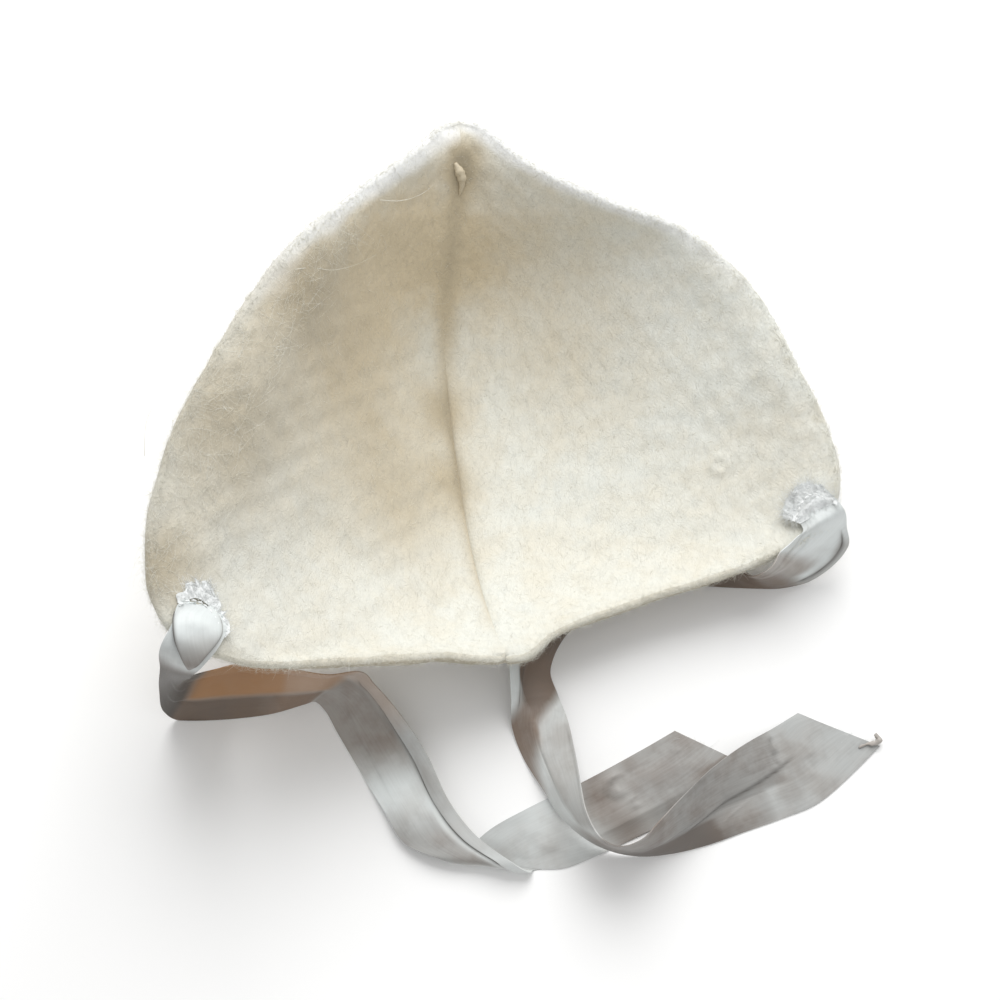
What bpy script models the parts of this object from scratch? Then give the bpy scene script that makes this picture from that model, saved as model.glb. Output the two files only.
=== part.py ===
"""Baby bonnet of thick felted wool with two ribbon ties, lying open on its back.

Two felt panels meet along one centre seam, which runs from the peak over the crown and down to the
nape. The bonnet lies rolled a little onto its right panel, with the left panel standing up, and the
ties lie on the surface. Tables and sizes are in millimetres. +Z is up, +Y runs from the nape to the
peak, and the origin is on the surface, under the middle of the whole thing.
"""

import math
from collections import namedtuple

import bmesh
import bpy
import numpy as np

MM = 0.001

# Felt
FELT_THICKNESS = 3.0
SEAM_GAP = 0.3
MITRE = 7.0
ROW_STEPS = 4
COLUMNS = (0.0, 0.05, 0.11, 0.19, 0.28, 0.38, 0.48, 0.58, 0.68, 0.77, 0.85, 0.915, 0.965, 1.0)

# Ribbon
RIBBON_THICKNESS = 1.0
RIBBON_STEPS = 4
RIBBON_COLUMNS = 3
LEFT_CREASE = 0.76
RIGHT_CREASE = 0.38

# Place of the origin in the layout that the tables use
ORIGIN = np.array((7.0, -7.3, 0.0))

# The seam lies in one upright plane, turned and leaning as the bonnet rolls onto its right panel
SEAM_OFFSET = -13.5
SEAM_TURN = -0.1426
SEAM_LEAN = 0.249

# Inner line of the seam, from the peak to the nape
SeamRow = namedtuple("SeamRow", "name y z")
SEAM = (
    SeamRow("peak", 105.4, 62.0),
    SeamRow("peak_low", 101.8, 59.2),
    SeamRow("forehead", 94.2, 50.5),
    SeamRow("crown_front", 82.5, 35.0),
    SeamRow("crown_top", 68.5, 16.0),
    SeamRow("crown_back", 51.0, 5.4),
    SeamRow("back_high", 32.0, 3.1),
    SeamRow("back_middle", 12.0, 3.0),
    SeamRow("back_low", -5.0, 3.2),
    SeamRow("back_bottom", -20.0, 5.4),
    SeamRow("neck_high", -33.5, 9.4),
    SeamRow("neck_middle", -45.0, 14.6),
    SeamRow("neck_back", -53.0, 19.2),
    SeamRow("neck_low", -57.8, 22.4),
    SeamRow("nape", -61.1, 24.8),
)

# Free edge of each panel, one row for each row of the seam between its ends. belly is how far the
# felt bulges outwards, curl how far its edge is rolled outwards, and roll how wide that roll is.
EdgeRow = namedtuple("EdgeRow", "name x y z belly curl roll")
RIGHT_EDGE = (
    EdgeRow("peak_side", -5.6, 102.4, 62.0, 0.2, 0.3, 4.0),
    EdgeRow("face_top", 8.0, 91.5, 60.0, 0.5, 1.0, 6.0),
    EdgeRow("face_temple", 33.7, 79.6, 56.5, 2.0, 1.5, 8.0),
    EdgeRow("face_high", 61.9, 70.5, 51.0, 4.5, 2.5, 10.0),
    EdgeRow("face_upper", 82.2, 51.8, 45.5, 7.0, 3.5, 12.0),
    EdgeRow("face_middle", 94.6, 28.6, 39.5, 9.0, 4.0, 12.0),
    EdgeRow("face_low", 103.2, 11.7, 34.0, 9.5, 4.0, 12.0),
    EdgeRow("face_end", 107.1, -6.3, 29.0, 8.5, 3.5, 12.0),
    EdgeRow("corner", 101.8, -17.4, 25.5, 7.5, 2.0, 10.0),
    EdgeRow("neck_side", 83.6, -27.7, 22.0, 5.0, 0.5, 8.0),
    EdgeRow("neck_middle", 47.2, -39.5, 19.0, 2.0, 0.5, 8.0),
    EdgeRow("neck_back", 18.1, -51.3, 20.5, 0.5, 0.5, 8.0),
    EdgeRow("neck_low", 9.1, -59.6, 23.0, 0.2, 0.2, 8.0),
)
LEFT_EDGE = (
    EdgeRow("peak_side", -18.9, 102.0, 62.5, 0.2, 0.5, 4.0),
    EdgeRow("face_top", -25.2, 92.2, 66.5, 0.5, 1.5, 7.0),
    EdgeRow("face_temple", -45.6, 69.7, 74.0, 1.5, 3.5, 10.0),
    EdgeRow("face_high", -63.3, 46.3, 81.0, 4.0, 8.0, 19.0),
    EdgeRow("face_upper", -75.6, 19.6, 86.0, 6.0, 12.0, 28.0),
    EdgeRow("face_middle", -84.1, -2.1, 88.5, 7.0, 13.0, 32.0),
    EdgeRow("face_low", -90.7, -20.7, 87.5, 7.0, 12.0, 32.0),
    EdgeRow("face_end", -94.6, -42.2, 84.5, 6.0, 9.0, 28.0),
    EdgeRow("cheek", -93.3, -58.8, 80.0, 5.0, 5.0, 20.0),
    EdgeRow("corner", -86.3, -69.6, 74.5, 4.0, 2.5, 14.0),
    EdgeRow("neck_side", -71.4, -72.7, 62.0, 2.5, 1.0, 10.0),
    EdgeRow("neck_middle", -44.2, -67.8, 47.5, 1.5, 0.5, 8.0),
    EdgeRow("neck_low", -17.7, -62.4, 34.0, 0.5, 0.2, 8.0),
)

# Soft folds pressed into the felt: a straight run between two (row, column) places on one panel.
# depth is how far the fold sinks outwards, width how far it spreads to each side.
FoldRow = namedtuple("FoldRow", "panel name row_1 column_1 row_2 column_2 depth width")
FOLDS = (
    FoldRow("left", "cheek_fold", 11.0, 0.05, 8.2, 0.5, 2.0, 9.0),
    FoldRow("right", "crown_fold", 5.0, 0.08, 5.0, 0.6, -1.5, 12.0),
)

# Lines across each ribbon from the stitched end to the free end: its two edges, and how far the
# lengthwise crease between them sinks.
RibbonRow = namedtuple("RibbonRow", "name edge_1 edge_2 sink")
LEFT_TIE = (
    RibbonRow("stitched_end", (-83.9, -56.5, 75.7), (-76.0, -58.5, 68.2), -0.3),
    RibbonRow("patch", (-86.3, -61.4, 77.0), (-74.6, -65.1, 67.6), -0.8),
    RibbonRow("patch_low", (-87.2, -66.5, 77.3), (-76.1, -70.8, 69.0), -0.8),
    RibbonRow("over_neck", (-90.2, -72.3, 75.5), (-80.0, -75.4, 68.0), -0.5),
    RibbonRow("hang_high", (-94.4, -73.5, 57.0), (-84.6, -76.0, 60.0), 0.0),
    RibbonRow("hang_low", (-101.3, -71.8, 27.0), (-88.8, -72.0, 42.0), 0.0),
    RibbonRow("bend", (-104.0, -73.6, 7.0), (-90.8, -67.2, 27.5), 0.5),
    RibbonRow("loop_start", (-101.2, -74.7, 0.7), (-86.6, -63.6, 20.0), 1.5),
    RibbonRow("loop_middle", (-89.3, -74.7, 0.6), (-79.0, -61.5, 18.8), 2.5),
    RibbonRow("loop_end", (-72.0, -72.6, 0.6), (-64.5, -64.0, 21.5), 2.5),
    RibbonRow("turn_start", (-62.0, -69.5, 0.6), (-52.0, -65.9, 21.5), 1.5),
    RibbonRow("turn", (-58.3, -68.6, 0.6), (-42.2, -63.9, 17.5), 1.5),
    RibbonRow("turn_end", (-55.0, -71.5, 0.6), (-38.0, -66.8, 13.5), 3.0),
    RibbonRow("fall_high", (-50.9, -78.5, 0.6), (-31.5, -73.6, 9.5), 4.0),
    RibbonRow("fall_middle", (-43.0, -91.2, 0.6), (-22.7, -86.3, 7.5), 4.0),
    RibbonRow("fall_low", (-35.8, -102.5, 2.0), (-15.1, -101.2, 7.0), 3.0),
    RibbonRow("fold_start", (-28.9, -113.0, 3.2), (-6.6, -111.7, 7.0), 1.0),
    RibbonRow("fold_top", (-19.0, -117.6, 4.6), (4.8, -119.6, 6.2), 0.0),
    RibbonRow("fold", (-13.4, -119.2, 3.0), (9.2, -121.2, 3.1), 0.0),
    RibbonRow("fold_under", (-12.6, -118.0, 0.7), (10.4, -120.4, 0.7), 0.0),
    RibbonRow("rise_start", (-4.0, -109.2, 0.6), (18.9, -120.1, 0.6), 0.0),
    RibbonRow("rise_low", (8.6, -102.0, 0.6), (27.8, -117.0, 0.6), 0.0),
    RibbonRow("rise_middle", (26.0, -93.8, 0.6), (37.6, -112.6, 0.6), 1.0),
    RibbonRow("rise_high", (44.2, -84.0, 0.6), (56.0, -103.6, 0.6), 1.0),
    RibbonRow("free_end", (54.7, -78.0, 0.6), (79.0, -90.2, 0.6), 0.0),
)
RIGHT_TIE = (
    RibbonRow("stitched_end", (89.1, -12.3, 24.5), (100.0, -6.5, 29.9), -0.3),
    RibbonRow("patch", (92.4, -16.2, 25.4), (103.5, -10.3, 29.5), -0.6),
    RibbonRow("over_corner", (95.6, -21.9, 28.0), (106.6, -14.8, 29.8), -0.6),
    RibbonRow("bulge_high", (93.8, -24.2, 27.0), (109.6, -17.0, 20.0), 0.0),
    RibbonRow("bulge", (91.6, -26.2, 25.6), (111.8, -19.5, 8.5), 0.0),
    RibbonRow("bulge_low", (88.5, -28.6, 24.4), (108.1, -24.0, 4.0), 0.5),
    RibbonRow("tuck_start", (84.4, -31.2, 22.6), (100.2, -28.6, 1.0), 1.0),
    RibbonRow("tuck", (78.6, -32.6, 17.5), (90.3, -31.0, 0.6), 0.5),
    RibbonRow("under_start", (69.0, -17.0, 6.5), (77.9, -31.0, 0.6), 0.0),
    RibbonRow("under_middle", (53.5, -10.5, 3.4), (61.6, -30.5, 0.6), 0.0),
    RibbonRow("under_end", (33.5, -14.0, 1.4), (44.5, -33.0, 0.6), 0.0),
    RibbonRow("nape_under", (16.5, -25.5, 0.9), (31.0, -39.0, 0.6), 0.0),
    RibbonRow("nape_turn", (6.0, -40.0, 3.0), (20.5, -48.0, 0.6), 1.0),
    RibbonRow("nape_out", (3.0, -57.5, 11.5), (16.0, -58.5, 0.6), 2.5),
    RibbonRow("drop_high", (3.4, -69.5, 8.5), (18.2, -66.5, 1.5), 2.5),
    RibbonRow("drop", (3.7, -76.5, 2.2), (20.9, -76.0, 7.0), -1.5),
    RibbonRow("drop_middle", (6.9, -85.6, 0.7), (22.8, -87.6, 12.5), -1.5),
    RibbonRow("drop_low", (12.9, -96.3, 2.6), (24.2, -98.6, 18.5), -1.0),
    RibbonRow("cross", (18.8, -105.5, 3.3), (26.0, -107.4, 22.5), 0.0),
    RibbonRow("bend_start", (26.4, -111.8, 2.7), (29.4, -114.1, 24.2), 0.0),
    RibbonRow("bend", (34.2, -115.0, 1.4), (33.7, -116.9, 25.0), 0.0),
    RibbonRow("bend_end", (42.4, -116.2, 0.6), (40.4, -115.6, 24.4), 0.0),
    RibbonRow("rise_low", (51.5, -115.6, 0.6), (46.3, -109.8, 22.0), 0.5),
    RibbonRow("rise", (62.2, -113.2, 0.6), (54.0, -101.8, 18.0), 1.5),
    RibbonRow("rise_middle", (73.3, -109.6, 0.6), (63.9, -92.1, 12.5), 2.5),
    RibbonRow("rise_high", (87.1, -104.8, 0.6), (75.4, -83.4, 6.0), 1.5),
    RibbonRow("tail", (98.4, -100.0, 0.6), (85.8, -77.2, 2.0), 0.5),
    RibbonRow("free_end", (118.3, -82.9, 0.6), (93.6, -72.4, 0.6), 0.0),
)


def seam_x(y, z):
    """Where the plane of the seam stands at a given y and z."""
    return SEAM_OFFSET + SEAM_TURN * y + SEAM_LEAN * z


def through(points, steps):
    """Centripetal Catmull-Rom curve through the points, with steps samples in each span."""
    points = np.asarray(points, float)
    first = 2 * points[0] - points[1]
    last = 2 * points[-1] - points[-2]
    padded = np.vstack((first, points, last))
    sampled = []
    for i in range(len(points) - 1):
        p0, p1, p2, p3 = padded[i : i + 4]
        t1 = max(np.linalg.norm(p1 - p0), 1e-6) ** 0.5
        t2 = t1 + max(np.linalg.norm(p2 - p1), 1e-6) ** 0.5
        t3 = t2 + max(np.linalg.norm(p3 - p2), 1e-6) ** 0.5
        for k in range(steps):
            t = t1 + (t2 - t1) * k / steps
            a1 = p0 + (p1 - p0) * t / t1
            a2 = p1 + (p2 - p1) * (t - t1) / (t2 - t1)
            a3 = p2 + (p3 - p2) * (t - t2) / (t3 - t2)
            b1 = a1 + (a2 - a1) * t / t2
            b2 = a2 + (a3 - a2) * (t - t1) / (t3 - t1)
            sampled.append(b1 + (b2 - b1) * (t - t1) / (t2 - t1))
    sampled.append(points[-1])
    return np.array(sampled)


def between(values, steps):
    """One number for each sampled row, straight between the rows of a table."""
    places = np.arange((len(values) - 1) * steps + 1) / steps
    return np.interp(places, np.arange(len(values)), values)


def unit(vectors):
    """Vectors of length one."""
    lengths = np.linalg.norm(vectors, axis=-1, keepdims=True)
    return vectors / np.maximum(lengths, 1e-9)


def panel_grid(edge_rows, side, folds, steps, columns):
    """Inner surface of a panel as a grid of points: rows along the seam, columns out to the edge."""
    seam_points = [(seam_x(row.y, row.z), row.y, row.z) for row in SEAM]
    seam = through(seam_points, steps)
    edge = through([seam_points[0], *[row[1:4] for row in edge_rows], seam_points[-1]], steps)
    belly = between([0.0, *[row.belly for row in edge_rows], 0.0], steps)
    curl = between([0.0, *[row.curl for row in edge_rows], 0.0], steps)
    roll = between([6.0, *[row.roll for row in edge_rows], 6.0], steps)
    along = unit(np.gradient(seam, axis=0))
    out = side * np.cross(unit(edge - seam), along)
    out[0], out[-1] = out[1], out[-2]
    out = unit(out)
    base_end = edge - out * curl[:, None]
    length = np.linalg.norm(edge - seam, axis=1)
    roll = np.minimum(roll, 0.7 * length) + 1e-6
    grid = []
    for u in columns:
        from_edge = (1 - u) * length
        rolled = np.clip(1 - from_edge / roll, 0, 1) ** 2
        bulge = belly * 4 * u * (1 - u) * (1.25 - 0.5 * u)
        grid.append(seam + (base_end - seam) * u + out * (bulge + curl * rolled)[:, None])
    grid = np.array(grid).transpose(1, 0, 2)
    clear = np.minimum(length / 20.0, 1.0)[:, None] * np.minimum(np.asarray(columns) / 0.12, 1.0)
    for fold in folds:
        sink = fold_sink(grid, fold, steps, columns) * clear
        grid += sink[..., None] * out[:, None, :]
    return grid


def fold_sink(grid, fold, steps, columns):
    """How far each point of a panel sinks for one soft fold."""
    ends = []
    for row, column in ((fold.row_1, fold.column_1), (fold.row_2, fold.column_2)):
        line = grid[int(round(row * steps))]
        ends.append([np.interp(column, columns, line[:, axis]) for axis in range(3)])
    start, end = np.array(ends)
    span = end - start
    share = np.clip(((grid - start) @ span) / (span @ span), 0, 1)
    distance = np.linalg.norm(grid - (start + share[..., None] * span), axis=-1)
    return fold.depth * np.exp(-((distance / fold.width) ** 2))


def loft(name, grid):
    """A mesh through a grid of points in millimetres, with rows that shrink to a point merged."""
    mesh = bpy.data.meshes.new(name)
    build = bmesh.new()
    points = (grid - ORIGIN) * MM
    rows = [[build.verts.new(point) for point in row] for row in points]
    for upper, lower in zip(rows, rows[1:]):
        for i in range(len(upper) - 1):
            build.faces.new((upper[i], lower[i], lower[i + 1], upper[i + 1]))
    bmesh.ops.remove_doubles(build, verts=build.verts, dist=1e-7)
    build.to_mesh(mesh)
    build.free()
    return mesh


def solid_from(name, mesh, thickness, offset, material):
    """A closed wall of the given thickness on a lofted surface, as an object of its own."""
    sheet = bpy.data.objects.new(name + "_surface", mesh)
    bpy.context.scene.collection.objects.link(sheet)
    wall = sheet.modifiers.new("wall", "SOLIDIFY")
    wall.thickness = thickness * MM
    wall.offset = offset
    bpy.context.view_layer.update()
    graph = bpy.context.evaluated_depsgraph_get()
    closed = bpy.data.meshes.new_from_object(sheet.evaluated_get(graph))
    closed.name = name
    bpy.data.objects.remove(sheet)
    closed.materials.clear()
    closed.materials.append(material)
    solid = bpy.data.objects.new(name, closed)
    bonnet.objects.link(solid)
    return solid


def mitre(solid, side):
    """Closes a panel's wall on the plane of the seam, and flattens it where it lies on the surface."""
    normal = side * unit(np.array((1.0, -SEAM_TURN, -SEAM_LEAN)))
    seam = through([(seam_x(r.y, r.z), r.y, r.z) for r in SEAM], ROW_STEPS)
    away = -side * unit(np.cross(np.gradient(seam, axis=0), normal))
    points = np.array([vertex.co for vertex in solid.data.vertices]) / MM + ORIGIN
    inner, outer = np.split(points, 2)
    distance = np.abs((inner - seam[0]) @ normal)
    nearest = np.argmin(np.linalg.norm(inner[:, None] - seam, axis=2), axis=1)
    share = np.clip(distance / MITRE, 0, 1)[:, None]
    share = share * share * (3 - 2 * share)
    lean = unit(away[nearest] * (1 - share) + unit(outer - inner) * share)
    points = np.vstack((inner, inner + FELT_THICKNESS * lean)) + normal * SEAM_GAP / 2
    points[:, 2] = np.maximum(points[:, 2], 0.0)
    for vertex, point in zip(solid.data.vertices, points):
        vertex.co = (point - ORIGIN) * MM
    solid.data.update()


def felt_panel(name, edge_rows, side, material):
    """One side panel of the bonnet as a closed wall of felt."""
    folds = [fold for fold in FOLDS if fold.panel in name]
    grid = panel_grid(edge_rows, side, folds, ROW_STEPS, COLUMNS)
    if side < 0:
        grid = grid[:, ::-1]
    mesh = loft(name, grid)
    solid = solid_from(name, mesh, FELT_THICKNESS, -1.0, material)
    mitre(solid, side)
    solid.data.shade_smooth()
    solid.data.set_sharp_from_angle(angle=math.radians(50))
    return solid


def ribbon_grid(rows, crease, steps, columns):
    """Middle surface of a ribbon as a grid of points: rows along it, columns across it."""
    places = np.hstack((np.linspace(0, crease, columns + 1), np.linspace(crease, 1, columns + 1)[1:]))
    edge_1 = through([row.edge_1 for row in rows], steps)
    edge_2 = through([row.edge_2 for row in rows], steps)
    sink = between([row.sink for row in rows], steps)
    along = unit(np.gradient((edge_1 + edge_2) / 2, axis=0))
    down = unit(np.cross(edge_2 - edge_1, along))
    share = np.interp(places, (0.0, crease, 1.0), (0.0, 1.0, 0.0))
    flat = edge_1[:, None] + (edge_2 - edge_1)[:, None] * places[None, :, None]
    return flat + down[:, None] * (sink[:, None] * share)[..., None]


def ribbon_tie(name, rows, crease, material):
    """One ribbon as a closed strip, lying no lower than the surface."""
    mesh = loft(name, ribbon_grid(rows, crease, RIBBON_STEPS, RIBBON_COLUMNS))
    solid = solid_from(name, mesh, RIBBON_THICKNESS, 0.0, material)
    for vertex in solid.data.vertices:
        vertex.co.z = max(vertex.co.z, 0.0)
    solid.data.shade_smooth()
    solid.data.set_sharp_from_angle(angle=math.radians(50))
    return solid


def finish(name, colour, roughness):
    """A plain cloth material."""
    material = bpy.data.materials.new(name)
    material.use_nodes = True
    shader = material.node_tree.nodes["Principled BSDF"]
    shader.inputs["Base Color"].default_value = (*colour, 1.0)
    shader.inputs["Roughness"].default_value = roughness
    shader.inputs["Metallic"].default_value = 0.0
    return material


for old in list(bpy.data.objects):
    bpy.data.objects.remove(old)
bonnet = bpy.data.collections.new("baby_bonnet")
bpy.context.scene.collection.children.link(bonnet)

felt = finish("cream_felt", (0.82, 0.79, 0.68), 0.95)
ribbon = finish("ivory_ribbon", (0.74, 0.73, 0.70), 0.55)

panel_right = felt_panel("panel_right", RIGHT_EDGE, 1, felt)
panel_left = felt_panel("panel_left", LEFT_EDGE, -1, felt)
tie_left = ribbon_tie("tie_left", LEFT_TIE, LEFT_CREASE, ribbon)
tie_right = ribbon_tie("tie_right", RIGHT_TIE, RIGHT_CREASE, ribbon)
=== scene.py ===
"""Looks of a baby bonnet of felted wool with two ribbon ties, lying open on its back.

The shapes repeat the tables of the part's source, in millimetres of its layout, and build them
finely: felt walls with soft edges and hairs, and thin ribbons with pleats, stains and raw ends.
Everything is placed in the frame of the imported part, in metres, with +Z up.
"""

import logging
import math
from dataclasses import dataclass, field
from enum import Enum
from typing import NamedTuple, Sequence

import bmesh
import bpy
import numpy as np
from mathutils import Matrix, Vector


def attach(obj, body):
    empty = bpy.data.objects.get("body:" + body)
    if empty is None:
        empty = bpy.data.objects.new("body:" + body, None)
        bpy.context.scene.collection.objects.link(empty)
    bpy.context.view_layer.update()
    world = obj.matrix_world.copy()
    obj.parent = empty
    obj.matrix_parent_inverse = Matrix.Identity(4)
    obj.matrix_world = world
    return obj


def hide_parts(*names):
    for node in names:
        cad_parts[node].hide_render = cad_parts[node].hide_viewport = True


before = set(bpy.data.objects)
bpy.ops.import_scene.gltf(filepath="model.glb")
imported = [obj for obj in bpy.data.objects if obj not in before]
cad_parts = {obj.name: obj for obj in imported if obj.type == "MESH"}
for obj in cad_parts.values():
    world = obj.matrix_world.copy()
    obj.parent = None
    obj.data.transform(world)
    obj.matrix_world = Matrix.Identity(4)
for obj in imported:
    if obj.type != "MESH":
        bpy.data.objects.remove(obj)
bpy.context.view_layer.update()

log = logging.getLogger("bonnet")

MM = 0.001
ORIGIN = np.array((7.0, -7.3, 0.0))
BODY = "root"
FLOOR_GAP = 0.02
UV_PER_METRE = 10
MERGE_DISTANCE = 1e-7
SHARP_ANGLE = 1.1

Place = tuple[float, float, float]
Colour = tuple[float, float, float, float]
Input = bpy.types.NodeSocket | float | tuple[float, ...]


class Slot(str, Enum):
    """Material slots of the part's record."""

    FELT = "felt"
    RIBBON = "ribbon"


class Side(Enum):
    """The side of the seam that a panel lies on, as the sign of its direction."""

    RIGHT = 1
    LEFT = -1


class Hold(str, Enum):
    """How a piece of cloth is held; all of this part's cloth is laid."""

    LAID = "laid"


class SeamRow(NamedTuple):
    """One row of the seam's inner line, from the peak to the nape.

    fill rounds the valley between the panels, and lip raises the right panel beside the seam.
    """

    name: str
    y: float
    z: float
    fill: float
    lip: float


class EdgeRow(NamedTuple):
    """One row of a panel's free edge: its place, the felt's belly, and how its edge curls."""

    name: str
    x: float
    y: float
    z: float
    belly: float
    curl: float
    roll: float


class FoldRow(NamedTuple):
    """A soft straight fold between two (row, column) places of a panel."""

    name: str
    row_1: float
    column_1: float
    row_2: float
    column_2: float
    depth: float
    width: float


class ToneRow(NamedTuple):
    """A soft round area of the felt with more yellowing and painted warm shade, and more painted shade."""

    name: str
    centre: Place
    size: float
    yellowing_and_painted_warm_shade: float
    painted_shade: float


class RibbonRow(NamedTuple):
    """A line across a ribbon: its two edges, and how far the crease between them sinks."""

    name: str
    edge_1: Place
    edge_2: Place
    sink: float


class PleatRow(NamedTuple):
    """A line along a ribbon, between two (row, place) points, where one side lies on the other.

    The far side rises by height and falls back over a few millimetres, and dark is the strength of the painted shadow
    along the line.
    """

    name: str
    row_1: float
    place_1: float
    row_2: float
    place_2: float
    height: float
    dark: float


class StainRow(NamedTuple):
    """A stretch of a ribbon between two rows and two places across it, with brown staining and painted warm shade,
    greying and painted shade, and a painted shadow line.

    slant is how many rows earlier it starts and ends at the second edge than at the first.
    """

    name: str
    row_1: float
    row_2: float
    place_1: float
    place_2: float
    tan: float
    greying_and_painted_shade: float
    line: float = 0.0
    slant: float = 0.0


class WrinkleRow(NamedTuple):
    """A small curved wrinkle on a ribbon."""

    name: str
    row: float
    place: float
    size: float
    height: float


class FlapRow(NamedTuple):
    """A line across the folded flap: its two edges, and how far it puffs up between them."""

    name: str
    edge_1: Place
    edge_2: Place
    puff: float


def table(kind: type, rows: Sequence[tuple]) -> tuple:
    """Makes a table whose rows are all of one kind."""
    return tuple(kind(*row) for row in rows)


SEAM = table(SeamRow, (
    ("peak", 105.4, 62.0, 3.5, 0.0),
    ("peak_low", 101.8, 59.2, 3.5, 0.0),
    ("forehead", 94.2, 50.5, 4.0, 0.0),
    ("crown_front", 82.5, 35.0, 4.5, 0.0),
    ("crown_top", 68.5, 16.0, 4.5, 0.0),
    ("crown_back", 51.0, 5.4, 3.0, 0.3),
    ("back_high", 32.0, 3.1, 0.8, 1.2),
    ("back_middle", 12.0, 3.0, 0.3, 2.0),
    ("back_low", -5.0, 3.2, 0.3, 2.2),
    ("back_bottom", -20.0, 5.4, 0.3, 2.0),
    ("neck_high", -33.5, 9.4, 0.5, 1.6),
    ("neck_middle", -45.0, 14.6, 0.8, 1.0),
    ("neck_back", -53.0, 19.2, 1.2, 0.5),
    ("neck_low", -57.8, 22.4, 1.5, 0.2),
    ("nape", -61.1, 24.8, 1.5, 0.0),
))
SEAM_OFFSET = -13.5
SEAM_TURN = -0.1426
SEAM_LEAN = 0.249

RIGHT_EDGE = table(EdgeRow, (
    ("peak_side", -5.6, 102.4, 62.0, 0.2, 0.3, 4.0),
    ("face_top", 8.0, 91.5, 60.0, 0.5, 1.0, 6.0),
    ("face_temple", 33.7, 79.6, 56.5, 2.0, 1.5, 8.0),
    ("face_high", 61.9, 70.5, 51.0, 4.5, 2.5, 10.0),
    ("face_upper", 82.2, 51.8, 45.5, 7.0, 3.5, 12.0),
    ("face_middle", 94.6, 28.6, 39.5, 9.0, 4.0, 12.0),
    ("face_low", 103.2, 11.7, 34.0, 9.5, 4.0, 12.0),
    ("face_end", 107.1, -6.3, 29.0, 8.5, 3.5, 12.0),
    ("corner", 101.8, -17.4, 25.5, 7.5, 2.0, 10.0),
    ("neck_side", 83.6, -27.7, 22.0, 5.0, 0.5, 8.0),
    ("neck_middle", 47.2, -39.5, 19.0, 2.0, 0.5, 8.0),
    ("neck_back", 18.1, -51.3, 20.5, 0.5, 0.5, 8.0),
    ("neck_low", 9.1, -59.6, 23.0, 0.2, 0.2, 8.0),
))
LEFT_EDGE = table(EdgeRow, (
    ("peak_side", -18.9, 102.0, 62.5, 0.2, 0.5, 4.0),
    ("face_top", -25.2, 92.2, 66.5, 0.5, 1.5, 7.0),
    ("face_temple", -45.6, 69.7, 74.0, 1.5, 3.5, 10.0),
    ("face_high", -63.3, 46.3, 81.0, 4.0, 8.0, 19.0),
    ("face_upper", -75.6, 19.6, 86.0, 6.0, 12.0, 28.0),
    ("face_middle", -84.1, -2.1, 88.5, 7.0, 13.0, 32.0),
    ("face_low", -90.7, -20.7, 87.5, 7.0, 12.0, 32.0),
    ("face_end", -94.6, -42.2, 84.5, 6.0, 9.0, 28.0),
    ("cheek", -93.3, -58.8, 80.0, 5.0, 5.0, 20.0),
    ("corner", -86.3, -69.6, 74.5, 4.0, 2.5, 14.0),
    ("neck_side", -71.4, -72.7, 62.0, 2.5, 1.0, 10.0),
    ("neck_middle", -44.2, -67.8, 47.5, 1.5, 0.5, 8.0),
    ("neck_low", -17.7, -62.4, 34.0, 0.5, 0.2, 8.0),
))
RIGHT_FOLDS = (FoldRow("crown_fold", 5.0, 0.08, 5.0, 0.6, -1.5, 12.0),)
LEFT_FOLDS = (FoldRow("cheek_fold", 11.0, 0.05, 8.2, 0.5, 2.0, 9.0),)

LEFT_TIE = table(RibbonRow, (
    ("stitched_end", (-84.9, -59.4, 75.6), (-76.6, -60.8, 68.2), -0.3),
    ("patch", (-86.3, -61.4, 77.0), (-74.6, -65.1, 67.6), -0.8),
    ("patch_low", (-87.2, -66.5, 77.3), (-76.1, -70.8, 69.0), -0.8),
    ("over_neck", (-90.2, -72.3, 75.5), (-80.0, -75.4, 68.0), -0.5),
    ("hang_high", (-94.4, -73.5, 57.0), (-84.6, -76.0, 60.0), 0.0),
    ("hang_low", (-101.3, -71.8, 27.0), (-88.8, -72.0, 42.0), 0.0),
    ("bend", (-104.0, -73.6, 7.0), (-90.8, -67.2, 27.5), 0.5),
    ("loop_start", (-101.2, -74.7, 0.7), (-86.6, -63.6, 20.0), 1.5),
    ("loop_middle", (-89.3, -74.7, 0.6), (-79.0, -61.5, 18.8), 2.5),
    ("loop_end", (-72.0, -72.6, 0.6), (-64.5, -64.0, 21.5), 2.5),
    ("turn_start", (-62.0, -69.5, 0.6), (-52.0, -65.9, 21.5), 1.5),
    ("turn", (-58.3, -68.6, 0.6), (-42.2, -63.9, 17.5), 1.5),
    ("turn_end", (-55.0, -71.5, 0.6), (-38.0, -66.8, 13.5), 3.0),
    ("fall_high", (-50.9, -78.5, 0.6), (-31.5, -73.6, 9.5), 4.0),
    ("fall_middle", (-43.0, -91.2, 0.6), (-22.7, -86.3, 7.5), 4.0),
    ("fall_low", (-35.8, -102.5, 2.0), (-15.1, -101.2, 7.0), 3.0),
    ("fold_start", (-28.9, -113.0, 3.2), (-6.6, -111.7, 7.0), 1.0),
    ("fold_top", (-19.0, -117.6, 4.6), (4.8, -119.6, 6.2), 0.0),
    ("fold", (-13.4, -119.2, 3.0), (9.2, -121.2, 3.1), 0.0),
    ("fold_under", (-12.6, -118.0, 0.7), (10.4, -120.4, 0.7), 0.0),
    ("rise_start", (-4.0, -109.2, 0.6), (18.9, -120.1, 0.6), 0.0),
    ("rise_low", (8.6, -102.0, 0.6), (27.8, -117.0, 0.6), 0.0),
    ("rise_middle", (26.0, -93.8, 0.6), (37.6, -112.6, 0.6), 1.0),
    ("rise_high", (44.2, -84.0, 0.6), (56.0, -103.6, 0.6), 1.0),
    ("free_end", (54.7, -78.0, 0.6), (79.0, -90.2, 0.6), 0.0),
))
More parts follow.
